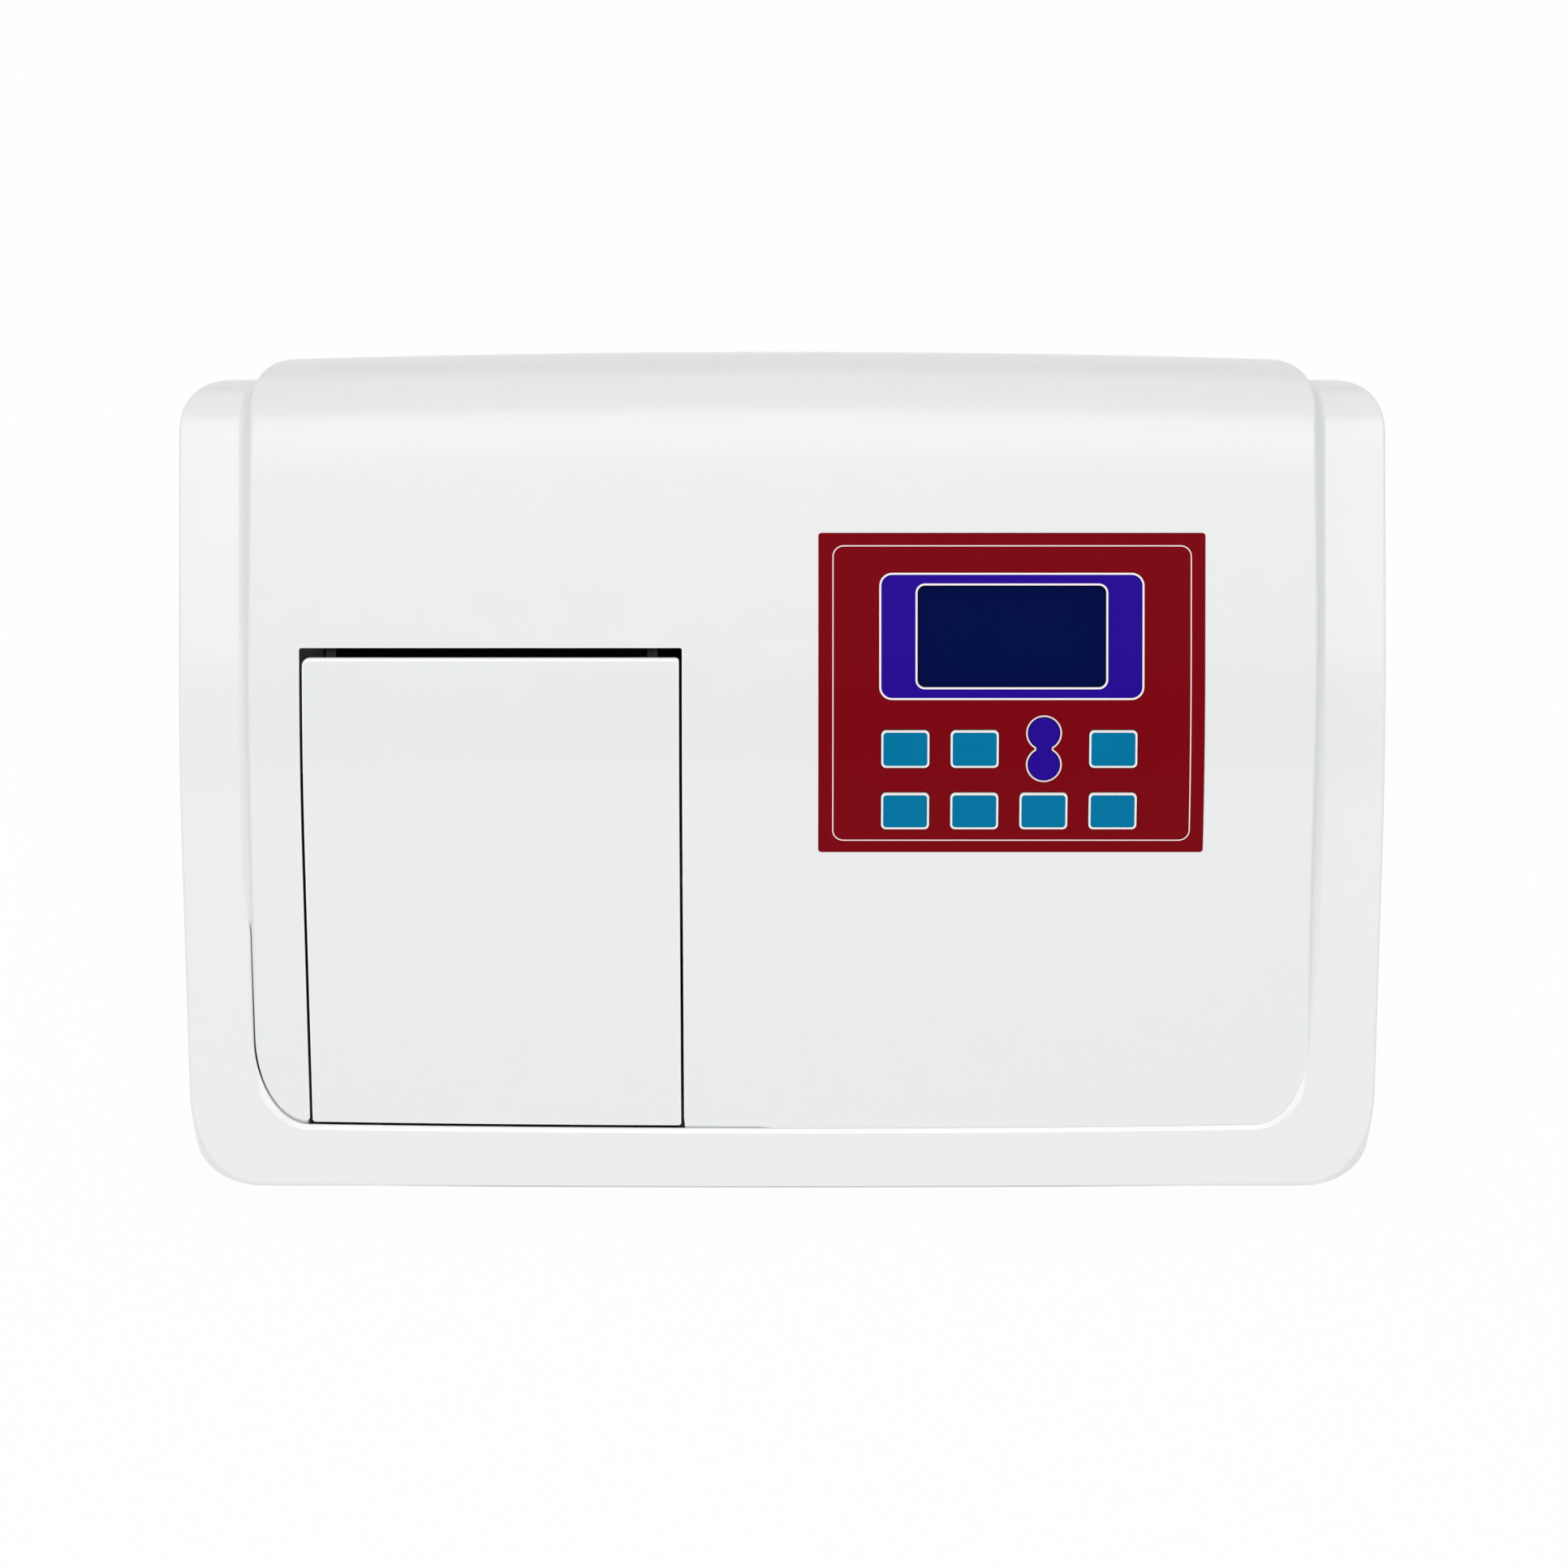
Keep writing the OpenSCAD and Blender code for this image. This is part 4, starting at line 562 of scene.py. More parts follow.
MOULDED = {"grain": 0.08, "grain_scale": 1500, "mottle": 0.006, "spread": 0.04}
PRINTED = {"grain_scale": 2600, "mottle": 0.03, "spec": 0.03}
M = {
    "case": material("moulded_white", srgb(237, 238, 238), 0.22, **MOULDED),
    # edge: a lighter copy of the moulded white for rounded edges and chamfers, a painted highlight
    "edge": material("painted_highlight_white", srgb(250, 250, 249), 0.24, mottle=0.0),
    "band": material("band_white", srgb(235, 237, 236), 0.22, **MOULDED),
    "red": material("overlay_red", srgb(124, 4, 17), 0.34, grain=0.12, **PRINTED),
    "violet": material("print_violet", srgb(39, 10, 146), 0.32, grain=0.06, **PRINTED),
    "teal": material("key_teal", srgb(0, 116, 160), 0.34, grain=0.06, **PRINTED),
    "line": material("print_white", srgb(246, 240, 236), 0.38, mottle=0.0),
    "lcd": material("lcd_glass", srgb(2, 15, 73), 0.14, mottle=0.02, spread=0.03, spec=0.02),
    "black": material("moulded_black", srgb(32, 32, 34), 0.5, grain=0.25, grain_scale=1400, mottle=0.05),
    "motor": material("motor_black", srgb(38, 39, 42), 0.42, grain=0.15, mottle=0.05),
    "anodised": material("black_anodised", srgb(30, 31, 34), 0.34, metal=0.6, grain=0.1, mottle=0.06),
    "rubber": material("rubber_black", srgb(26, 26, 27), 0.78, grain=0.35, grain_scale=900, mottle=0.06),
    "steel": material("steel", srgb(190, 192, 196), 0.26, metal=1.0, grain=0.05, mottle=0.03,
                      stretch=(1, 12, 1)),
    "zinc": material("zinc_sheet", srgb(176, 180, 182), 0.38, metal=0.9, grain=0.08, mottle=0.08,
                     spread_scale=90),
    "cast": material("cast_grey", srgb(128, 132, 136), 0.55, metal=0.35, grain=0.45, grain_scale=700,
                     mottle=0.05),
    "panel": material("panel_grey", srgb(196, 198, 199), 0.46, grain=0.3, grain_scale=900, mottle=0.02),
    "brass": material("brass", srgb(196, 160, 88), 0.3, metal=1.0, grain=0.05, mottle=0.06),
    "copper": material("copper_winding", srgb(176, 98, 52), 0.36, metal=0.9, grain=0.5, grain_scale=1,
                       stretch=(1, 1, 900)),
    "board": material("board_green", srgb(24, 74, 44), 0.36, grain=0.1, mottle=0.12, spread_scale=300),
    "mirror": material("mirror_coat", srgb(226, 229, 232), 0.05, metal=1.0, mottle=0.0, spread=0.02),
    "quartz": material("quartz", srgb(235, 240, 245), 0.04, mottle=0.0, spread=0.01, glass=0.85, ior=1.46),
    "filter": material("filter_glass", srgb(214, 138, 60), 0.06, mottle=0.0, spread=0.01, glass=0.7),
    "port": material("port_metal", srgb(186, 188, 190), 0.3, metal=1.0, mottle=0.04),
}

# The plain pieces and their materials
looks = {
    "lid_liner": "black", "lid_seal": "rubber", "hinge_pins": "steel", "hinge_brackets": "anodised",
    "base_plate": "zinc", "rubber_feet": "rubber", "case_screws": "steel", "rear_panel": "panel",
    "sample_tub": "black", "beam_windows": "quartz", "guide_rods": "steel", "cell_carriage": "anodised",
    "carriage_screw": "steel", "carriage_motor": "motor", "detector_housing": "cast",
    "photodiode": "board", "monochromator_box": "cast", "monochromator_cover": "cast",
    "slit_plates": "anodised", "collimating_mirror": "mirror", "focusing_mirror": "mirror",
    "grating_table": "cast", "grating": "mirror", "wavelength_nut": "brass",
    "wavelength_screw": "steel", "wavelength_motor": "motor", "filter_wheel": "anodised",
    "filter_glasses": "filter", "filter_motor": "motor", "lamp_house": "zinc",
    "deuterium_lamp": "quartz", "tungsten_lamp": "quartz", "source_mirror": "mirror",
    "mirror_motor": "motor", "power_supply": "board", "transformer": "copper", "main_board": "board",
    "data_ports": "port", "power_inlet": "black", "switch_frame": "black", "power_rocker": "black",
    "fan_frame": "black", "fan_rotor": "motor", "lcd_module": "lcd", "key_board": "board",
}
# Plain pieces that keep sharp edges, and the bevel of all the others
UNBEVELLED = ("lcd_module", "case_screws", "filter_glasses", "beam_windows", "grating")
EDGE_BEVEL = 0.00035
SHARP = radians(35)
for name, look in looks.items():
    ob = nodes[name]
    for s in ob.material_slots:
        s.material = M[look]
    if not ob.material_slots:
        ob.data.materials.append(M[look])
    if name not in UNBEVELLED:
        bev = ob.modifiers.new("edge", "BEVEL")
        bev.width = EDGE_BEVEL
        bev.segments = 2
        bev.limit_method = "ANGLE"
        bev.angle_limit = SHARP
        bev.harden_normals = False

# The case
HALF = CASE_W / 2
OPEN = BAND_W / 2 + SEAM
# The front's bow between its corners, and the bow and the place of the band's front edge
BOW_X = HALF - FRONT_R
BOW = 1.2 / BOW_X ** 2
FRONT_BOW, FRONT_DROP = 1.1, 1.57
# How much wider than its nominal width the band is on each side
EASE = 0.3
Y_CORNER = BACK_Y - CROWN * (BAND_W / 2 + EASE - BAND_BACK_R) ** 2 - BAND_BACK_R
# The rounding of the case's lower edge, and how far below the band's skirt its inner walls end
EDGE_R, WALL_DROP = 1.3, 3.3
# The chamfer along the opening's lower rim: how far up it reaches, up to where it is full, its widths
RIM_UP, RIM_FULL, RIM_MIN, RIM_MAX = 15, 6.7, 0.5, 3.4


def clamp(v):
    return max(0.0, min(1.0, v))


def front_bow(x):
    """How far the band's front edge lies behind its straight line: it is bowed towards the front."""
    return FRONT_BOW * min(1.0, (x / 190) ** 2) - FRONT_DROP


def proud(y):
    """How far the band stands proud of the wings at y, along the face."""
    y = min(y, wing_profile.bend.x - WING_R * sin(radians(UPPER)))
    return (band_profile.z_of_y(y) - wing_profile.z_of_y(y)) * cos(radians(UPPER + 4))


def narrow(x, y):
    """How far the band's face stays back from its seam at the sides, on top of the draft."""
    low = clamp((BAND_FRONT + 150 - y) / 90)
    return 0.7 + 1.6 * low if x > 0 else 1.3 + 0.5 * low


def flare(x, y):
    """How much of that width is the foot of the band's wall; the wing's lip covers the rest."""
    return clamp((proud(y) - 0.9) / 1.5) if x > 0 else clamp((proud(y) - 3.2) / 1.0)


def lip(x, y):
    """How far the wing's lip reaches in over the opening."""
    return narrow(x, y) * (1 - flare(x, y))


def open_x(y):
    """Half the opening's width; its rear end follows the band's round corner."""
    t = y - Y_CORNER
    if t <= 0:
        return OPEN, 1.0, 0.0
    r = BAND_BACK_R + SEAM
    a = asin(min(1.0, t / r))
    return OPEN - r * (1 - cos(a)), cos(a), sin(a)


def meeting():
    """Where the wing's rear corner meets the opening's edge."""
    x = OPEN
    for _ in range(30):
        y = WING_BACK - BACK_R + sqrt(BACK_R ** 2 - (x - HALF + BACK_R) ** 2)
        x = open_x(y)[0]
    return x, y


X_MEET, Y_MEET = meeting()


def bez_path(e, n, floor, r):
    """The point r along the way from the edge down the wall and then in along the lower edge."""
    drop = e.z - floor
    if drop >= r:
        return e - Vector((0, 0, r))
    return Vector((e.x - (r - drop) * n[0], e.y - (r - drop) * n[1], floor))


def plan_arc(cx, cy, r, a0, a1, n):
    """Points and normals of an arc in plan, from a0 to a1 degrees."""
    out = []
    for i in range(n + 1):
        a = radians(a0 + (a1 - a0) * i / n)
        out.append((cx + r * cos(a), cy + r * sin(a), cos(a), sin(a)))
    return out


def case_outline():
    """The case's U in plan, counter-clockwise from the rear left end: x, y, normal, and kind.

    The kind is 0 along the outside and 1 along the band's opening.
    """
    f = front.x
    pts = []
    end = degrees(acos((X_MEET - HALF + BACK_R) / BACK_R))
    for x, y, nx, ny in plan_arc(-HALF + BACK_R, WING_BACK - BACK_R, BACK_R, 180 - end, 180, 26):
        pts.append((x, y, nx, ny, 0))
    for y in steps(f + FRONT_R, WING_BACK - BACK_R, 12)[::-1][1:-1]:
        pts.append((-HALF, y, -1, 0, 0))
    for x, y, nx, ny in plan_arc(-HALF + FRONT_R, f + FRONT_R, FRONT_R, 180, 270, 16):
        pts.append((x, y, nx, ny, 0))
    for x in steps(-HALF + FRONT_R, HALF - FRONT_R, 12)[1:-1]:
        pts.append((x, f, 0, -1, 0))
    for x, y, nx, ny in plan_arc(HALF - FRONT_R, f + FRONT_R, FRONT_R, 270, 360, 16):
        pts.append((x, y, nx, ny, 0))
    for y in steps(f + FRONT_R, WING_BACK - BACK_R, 12)[1:-1]:
        pts.append((HALF, y, 1, 0, 0))
    for x, y, nx, ny in plan_arc(HALF - BACK_R, WING_BACK - BACK_R, BACK_R, 0, end, 26):
        pts.append((x, y, nx, ny, 0))
    # The edge along the band's opening, on the way back round the front
    rear = [Y_MEET - d for d in (0.4, 1.2, 2.2, 3.4, 4.8, 6.2, 7.6, 9, 11, 13)]
    side = rear + steps(BAND_FRONT + BAND_FRONT_R, Y_MEET - 16, 5)[::-1]
    r = BAND_FRONT_R + SEAM
    cy = BAND_FRONT - SEAM + r

    def rim(sx, x, y, nx, ny):
        w = lip(sx, y) * nx * nx
        return sx * (x - w * nx), y - w * ny + front_bow(x) * ny * ny, -sx * nx, -ny, 1

    for y in side:
        x, nx, ny = open_x(y)
        pts.append(rim(1, x, y, nx, 0))
    for x, y, nx, ny in plan_arc(OPEN - r, cy, r, 0, -90, 24)[1:]:
        pts.append(rim(1, x, y, nx, ny))
    for x in steps(-OPEN + r, OPEN - r, 12)[::-1][1:-1]:
        pts.append((x, BAND_FRONT - SEAM + front_bow(x), 0, 1, 1))
    for x, y, nx, ny in plan_arc(OPEN - r, cy, r, 0, -90, 24)[::-1]:
        pts.append(rim(-1, x, y, nx, ny))
    for y in side[::-1][1:]:
        x, nx, ny = open_x(y)
        pts.append(rim(-1, x, y, nx, 0))
    return pts


def rim_light(x, y):
    """The width of the chamfer along the opening's lower rim, widest on the corners' diagonals."""
    up = y - BAND_FRONT
    if x < 0 and RIM_UP < up < 60:
        return RIM_MIN + 1.5 * min(1.0, (up - RIM_UP) / 10, (60 - up) / 15)
    if up > RIM_UP:
        return RIM_MIN
    if up > RIM_FULL:
        return RIM_MIN + (RIM_MAX - RIM_MIN) * ((RIM_UP - up) / (RIM_UP - RIM_FULL)) ** 1.3
    return RIM_MAX


case_skin = Skin()


def case_rows(c, n, surf):
    """The rim's points at a column of the case: its edge or chamfer, the wall and the wall's foot."""
    x, q, _, py, nx, ny, kind = c
    k = hypot(nx, ny) or 1
    nx, ny = nx / k, ny / k
    e = surf.at(x, q)
    r = case_r(c)
    a = surf.at(x - r * n.x, q - r * n.y)
    if kind > 0.5:
        near = clamp((Y_MEET - 1 - py) / 6)
        deep = (wing_profile.z_of_y(min(py, WING_BACK)) - SKIRT - WALL_DROP) * near + FOOT * (1 - near)
        deep = max(FOOT, deep)
        if py < BAND_FRONT + RIM_UP:
            low = e - Vector((0, 0, max(0.8, e.z - band_profile.z_of_y(e.y))))
            out = [a.lerp(low, u) for u in (0.05, 0.35, 0.7, 1.0)]
        else:
            out = bezier(a, e, e - Vector((0, 0, 0.3 + 0.4 * r)))
    else:
        deep = FOOT
        out = bezier(a, e, bez_path(e, (nx, ny), FOOT, EDGE_R))
    last = out[-1]
    z1 = min(last.z, deep + 0.8)
    out.append(Vector((last.x, last.y, z1)))
    while len(out) < ROWS_N - 2:
        out.append(out[-1].copy())
    out.append(Vector((e.x - 0.5 * nx, e.y - 0.5 * ny, min(last.z, deep))))
    out.append(Vector((e.x - WALL * nx, e.y - WALL * ny, min(last.z, deep))))
    return out


def case_r(c):
    if c[6] > 0.5:
        return rim_light(c[2], c[3])
    return EDGE_R


cols = []
for x, y, nx, ny, kind in case_outline():
    bow = BOW * min(x * x, BOW_X ** 2) * ny * ny if kind == 0 and ny < 0 else 0.0
    cols.append((x, wing.q_of_y(x, y + bow), x, y + bow, nx, ny, kind))
# The first rows of the chamfer along the opening's lower rim take the lighter edge white, a painted
# highlight
case_loop = {"pts": cols, "r": case_r, "t": lambda c: WALL, "rows": case_rows, "smooth": ROUND_ROWS,
             "lit": lambda c: c[6] > 0.5 and c[3] < BAND_FRONT + RIM_UP}
shell(case_skin, wing, [case_loop], WALL, WING_QS)
case_skin.make("case_shell", [M["case"], M["edge"]], "case", "case_white", "outer_case")

# The band's cover
cover_skin = Skin()
HALF_B = BAND_W / 2


def gap_left(y):
    """How far the seam is open on the lower left."""
    return 0.55 * clamp((BAND_FRONT + 70 - y) / 55)


# How far the band reaches over its seam on the lower right
UNDER = 0.9
# The lid's opening: the radius of its corners and the rounding of its edge
OPENING_R, OPENING_EDGE = 0.8, 0.45
# The concave foot of the band's wall: its height, its width for each mm of height, its filling by the lip
FOOT_RISE, FOOT_SPREAD, FOOT_FILL = 2.2, 0.45, 0.9


def cover_outline():
    """x, q, plan x, plan y, plan normal, kind: 0 along the case, 1 the lid's opening, 2 the back's edges."""
    out = []

    def add(bx, by, nx, ny):
        h = max(0.0, proud(by))
        d = (DRAFT * h + narrow(bx, by)) * nx * nx
        if by < BAND_FRONT + BAND_FRONT_R:
            by += front_bow(bx) * ny * ny
            d -= UNDER * clamp(1 - proud(by)) * (1 if bx > 0 else 0)
        x, y = bx - d * nx, by - d * ny
        y = min(y, BACK_Y - CROWN * x * x)
        out.append((x, band.q_of_y(x, y), bx, by, nx, ny, 0))

    x_open = LID_X1 + LID_GAP
    front_y = BAND_FRONT
    for x in [x_open + 0.4] + steps(x_open + 6, HALF_B - BAND_FRONT_R, 12)[:-1]:
        add(x, front_y, 0, -1)
    half = HALF_B + EASE
    for x, y, nx, ny in plan_arc(half - BAND_FRONT_R, front_y + BAND_FRONT_R, BAND_FRONT_R, 270, 360, 16):
        add(x, y, nx, ny)
    y1 = BACK_Y - CROWN * (HALF_B - BAND_BACK_R) ** 2 - BAND_BACK_R
    for y in steps(front_y + BAND_FRONT_R, y1, 5)[1:-1]:
        add(half, y, 1, 0)
    for x, y, nx, ny in plan_arc(half - BAND_BACK_R, y1, BAND_BACK_R, 0, 90, 30):
        add(x, y, nx, ny)
    xe = half - BAND_BACK_R
    q0, q1 = band_profile.s_back, band.q_of_z(xe, FOOT)
    y_e = BACK_Y - CROWN * xe * xe
    for q in steps(q0, q1, 20)[1:]:
        out.append((xe, q, xe, y_e, 0, 1, 2))
    for x in steps(-xe, xe, 16)[::-1][1:]:
        out.append((x, band.q_of_z(x, FOOT), x, BACK_Y - CROWN * x * x, 0, 1, 2))
    for q in steps(q0, q1, 20)[::-1][1:-1]:
        out.append((-xe, q, -xe, y_e, 0, 1, 2))
    for x, y, nx, ny in plan_arc(-half + BAND_BACK_R, y1, BAND_BACK_R, 90, 180, 30):
        add(x, y, nx, ny)
    for y in steps(front_y + BAND_FRONT_R, y1, 5)[::-1][1:-1]:
        add(-half + gap_left(y), y, -1, 0)
    shift = gap_left(front_y + BAND_FRONT_R)
    for x, y, nx, ny in plan_arc(-half + BAND_FRONT_R, front_y + BAND_FRONT_R, BAND_FRONT_R, 180, 268, 16):
        add(x - shift * nx, y - shift * ny, nx, ny)
    x_left = LID_X0 - LID_GAP
    v, r = LID_TOP + LID_TOP_GAP, OPENING_R
    turns = (0, pi / 8, pi / 4, 3 * pi / 8, pi / 2)
    side_qs = steps(Q_FRONT + 4, v - 3, 6)
    rim = [(x_left, Q_FRONT + r)] + [(x_left, q) for q in side_qs]
    rim += [(x_left + r - r * cos(a), v - r + r * sin(a)) for a in turns]
    rim += [(x, v) for x in steps(x_left + 12, x_open - 12, 16)]
    rim += [(x_open - r + r * sin(a), v - r + r * cos(a)) for a in turns]
    rim += [(x_open, q) for q in side_qs[::-1]] + [(x_open, Q_FRONT + r)]
    for x, q in rim:
        p = band.at(x, band.q_of_v(x, q))
        out.append((x, band.q_of_v(x, q), x, p.y, 0, -1, 1))
    return out


def cover_r(c):
    if c[6] > 1.5:
        return 0.0
    if c[6] > 0.5:
        return OPENING_EDGE
    return 0.3 + 0.7 * clamp(proud(c[3]) / 2)


edge_lid = straight(OPENING_EDGE, WALL)


def cover_rows(c, n, surf):
    """The rim's points at a column of the cover: its edge, the wall's concave foot and the skirt."""
    x, q, bx, by, nx, ny, kind = c
    k = hypot(nx, ny) or 1
    nx, ny = nx / k, ny / k
    if 0.5 < kind < 1.5:
        return edge_lid(c, n, surf)
    e = surf.at(x, q)
    r = cover_r(c)
    if kind >= 1.5:
        foot = Vector((e.x, e.y, FOOT))
        out = [e.copy() for _ in range(4)] + [foot.copy() for _ in range(ROWS_N - 5)]
        out.append(Vector((e.x, e.y - WALL, FOOT)))
        return out
    a = surf.at(x - r * n.x, q - r * n.y)
    rear = by > Y_MEET
    zw = wing_profile.z_of_y(min(by, WING_BACK)) if not rear else e.z - 1.6
    nn = Vector((nx, ny, 0))
    reach = narrow(bx, by) * nx * nx
    base = Vector((bx, by, 0)) - nn * reach
    over = max(0.0, proud(by))
    if over <= 0:
        base = Vector((e.x, e.y, 0))
    inset = (Vector((e.x, e.y, 0)) - base).length

    def on_wall(z):
        u = clamp((z - (e.z - over)) / over) if over > 0.01 else 0.0
        return base - nn * inset * u + Vector((0, 0, z))

    zc = e.z - r
    out = bezier(a, e, on_wall(zc))
    z2 = min(zw + 0.04, zc - 0.05)
    share = flare(bx, by)
    f = max(0.0, min(FOOT_RISE + 1.5 * reach, 0.6 * (zc - z2))) * min(1.0, 4 * share)
    if rear:
        f = 0.0
    o = (FOOT_SPREAD * min(f, FOOT_RISE) + reach) * share
    if over > 0 and not rear:
        o += FOOT_FILL * min(1 - share, 1 if bx > 0 else 3 * share) * nx * nx
    for u in (0, 1 / 3, 2 / 3, 1):
        z = z2 + f - f * sin(u * pi / 2)
        out.append(on_wall(z) + nn * o * (1 - cos(u * pi / 2)))
    bottom = FOOT if rear else max(FOOT, zw - SKIRT)
    out.append(on_wall(z2 - 0.04))
    out.append(Vector((base.x, base.y, bottom)))
    out.append(Vector((base.x - WALL * nx, base.y - WALL * ny, bottom)))
    return out


def back_hole(x0, x1, z0, z1, r):
    """The outline of a hole in the cover's back, from z0 to z1 above the table."""
    pts = round_rect(x0, x1, -z1, -z0, r, n=4, step=16)
    return [(x, band.q_of_z(x, -y)) for x, y in pts]


def on_lid_opening(c):
    return 0.5 < c[6] < 1.5


pad_x0, pad_x1 = PAD_X - PAD_W / 2, PAD_X + PAD_W / 2
pad_hole = round_rect(pad_x0 + 1, pad_x1 - 1, arc(PAD_BOTTOM) + 1, PAD_TOP - 1, 1.0, n=3, step=14,
                      q_of=band.q_of_v)
cover_loops = [
    # The rounded edge of the lid's opening takes the lighter edge white, a painted highlight
    {"pts": cover_outline(), "r": cover_r, "t": lambda c: 0.0 if on_lid_opening(c) else WALL,
     "rows": cover_rows, "smooth": {0, 1, 2, 3, 4, 5, 6, 7}, "lit": on_lid_opening},
    hole(pad_hole, r=0.05, w=WALL),
    hole(back_hole(-165, 165, 19, 150, 2.5), r=0.5, w=WALL),
]
# The cooling slots in the cover's back: 19 of them, 10 mm long
SLOT_PITCH, SLOT_HALF = 16, 5
for i in range(-9, 10):
    x = i * SLOT_PITCH
    cover_loops.append(hole(back_hole(x - SLOT_HALF, x + SLOT_HALF, 164, 168, 1.9), r=0.4, w=WALL))
shell(cover_skin, band, cover_loops, WALL, BAND_QS, xs=[-200 + 20 * i for i in range(21)])
cover_skin.make("band_cover", [M["band"], M["edge"]], "case", "band_white", "center_cover")

# The lid
lid_skin = Skin()
Q_LID = Q_FRONT + 0.1
# The lid's corner radii from the lower left, its walls, and how far up the front's bow fades out on it
LID_CORNERS, LID_WALL, BOW_FADE = (1.2, 1.2, 1.4, 3.2), 2.5, 60


def lid_q(x, q):
    return q + front_bow(x) / cos(radians(LOWER + TILT)) * clamp((Q_LID + BOW_FADE - q) / BOW_FADE)


def lid_r(c):
    """The rounding of the lid's edge, larger at its top."""
    return 0.55 + clamp((c[1] - LID_TOP + 3.2) / 3.0)


def lid_w(c):
    """The depth of the lid's rim, which is less at the hinges."""
    top = clamp((c[1] - LID_TOP + 17) / 3.0)
    deep = SKIRT + max(-1.3, proud(band_flat.at(c[0], c[1]).y))
    return min(6.2, deep) if top > 0.5 else deep


lid_pts = round_rect(LID_X0 + 0.3, LID_X1 - 0.35, Q_LID, LID_TOP, LID_CORNERS, n=6, step=9, q_of=lid_q)
# The first rows of the lid's rounded edge all round take the lighter edge white, a painted highlight
lid_loop = {"pts": lid_pts, "r": lid_r, "t": lambda c: LID_WALL, "rows": straight(lid_r, lid_w, LID_WALL),
            "smooth": ROUND_ROWS, "lit": lambda c: True}
shell(lid_skin, band_flat, [lid_loop], WALL, LOWER_QS)
lid_shell = lid_skin.make("lid_shell", [M["band"], M["edge"]], "lid", "band_white")

# The lid's hinge barrels, each with its web up to the lid's inner face
BARREL_R, BARREL_LEN, WEB_HALF, WEB_H, WEB_IN = 3.5, 8, 3.4, 4.3, 0.1
BRACKET_AT, BRACKET_T, PLAY = 9, 4, 0.3
face_a, face_o = along(UPPER + TILT), outward(UPPER + TILT)
hinge = band_profile.top + (LID_TOP - LID_TOP_GAP) * face_a - 7.0 * face_o
barrels = Skin()


def prism(skin, x0, x1, pts, smooth=False):
    """A prism along X of an outline in Y and Z, counter-clockwise seen from +X."""
    n = len(pts)
    cx, cy = sum(p[0] for p in pts) / n, sum(p[1] for p in pts) / n
    for i in range(n):
        a, b = pts[i], pts[(i + 1) % n]
        if smooth:
            na, nb = (Vector((0, p[0] - cx, p[1] - cy)).normalized() for p in (a, b))
        else:
            na = nb = Vector((0, b[1] - a[1], a[0] - b[0])).normalized()
        skin.face([(x1, *a), (x0, *a), (x0, *b), (x1, *b)], [na, na, nb, nb])
    for x, s in ((x0, -1), (x1, 1)):
        ring = pts if s > 0 else list(reversed(pts))
        skin.face([(x, *p) for p in ring], [Vector((s, 0, 0))] * n)


turns = [2 * pi * i / 32 for i in range(32)]
ring = [(hinge.x + BARREL_R * cos(t), hinge.y + BARREL_R * sin(t)) for t in turns]
foot_a, foot_b = hinge - WEB_HALF * face_a, hinge + WEB_HALF * face_a
web = [tuple(p) for p in (foot_a, foot_b, foot_b + WEB_H * face_o, foot_a + WEB_H * face_o)]
for x in (LID_X0 + BRACKET_AT + BRACKET_T + PLAY, LID_X1 - BRACKET_AT - BRACKET_T - PLAY - BARREL_LEN):
    prism(barrels, x, x + BARREL_LEN, ring, smooth=True)
    prism(barrels, x + WEB_IN, x + BARREL_LEN - WEB_IN, web)
barrels.make("lid_barrels", [M["band"]], "lid", "band_white")
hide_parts("sample_lid")

# Keypad sheet, bezel, keys
# The corners of the keys' holes, of the bezel and of the display's window; the width of the printed ring
KEY_R, BEZEL_R, WINDOW_R, RING = 1.8, 5.1, 2.9, 0.78
# The printed frame line: its width, its distances from the left, right and other edges, its radius
LINE, LINE_LEFT, LINE_RIGHT, LINE_IN, LINE_R = 0.42, 5.55, 5.35, 4.9, 4.4


def key_loop(col, row, d):
    """The outline of a key's hole, d wider than the key."""
    x, s = KEY_X + (col - 1) * KEY_PITCH, arc(ROWS[row])
    return round_rect(x - KEY_W / 2 - d, x + KEY_W / 2 + d, s - KEY_H / 2 - d, s + KEY_H / 2 + d,
                      KEY_R + d, n=6)


class Lifted:
    """A face lifted by h."""

    def __init__(self, face, h):
        self.face, self.h = face, h

    def at(self, x, q, depth=0.0):
        return self.face.at(x, q, depth - self.h)

    def normal(self, x, q):
        return self.face.normal(x, q)


overlay = Skin()
rock_x, rock_s = KEY_X + 2 * KEY_PITCH, arc(ROWS[0])
over_loops = [loop(round_rect(pad_x0, pad_x1, arc(PAD_BOTTOM), PAD_TOP, 1.3, n=5, step=6), r=0.12, w=PAD_T)]
win = (PAD_X - SCREEN_W / 2, PAD_X + SCREEN_W / 2, DISPLAY_V - SCREEN_H / 2, DISPLAY_V + SCREEN_H / 2)
under_bezel = round_rect(win[0] - 1, win[1] + 1, arc(win[2] - 1), win[3] + 1, 3.0, n=5, step=6)
over_loops.append(hole(under_bezel, r=0.05, w=PAD_T))
KEYS = {"key_top_1": (1, 0), "key_top_2": (2, 0), "key_top_4": (4, 0),
        "key_low_1": (1, 1), "key_low_2": (2, 1), "key_low_3": (3, 1), "key_low_4": (4, 1)}
for col, row in KEYS.values():
    over_loops.append(hole(key_loop(col, row, 0.3), r=0.08, w=PAD_T))


def eight_at(d):
    return [(rock_x + x, rock_s + q) for x, q in eight(d)]


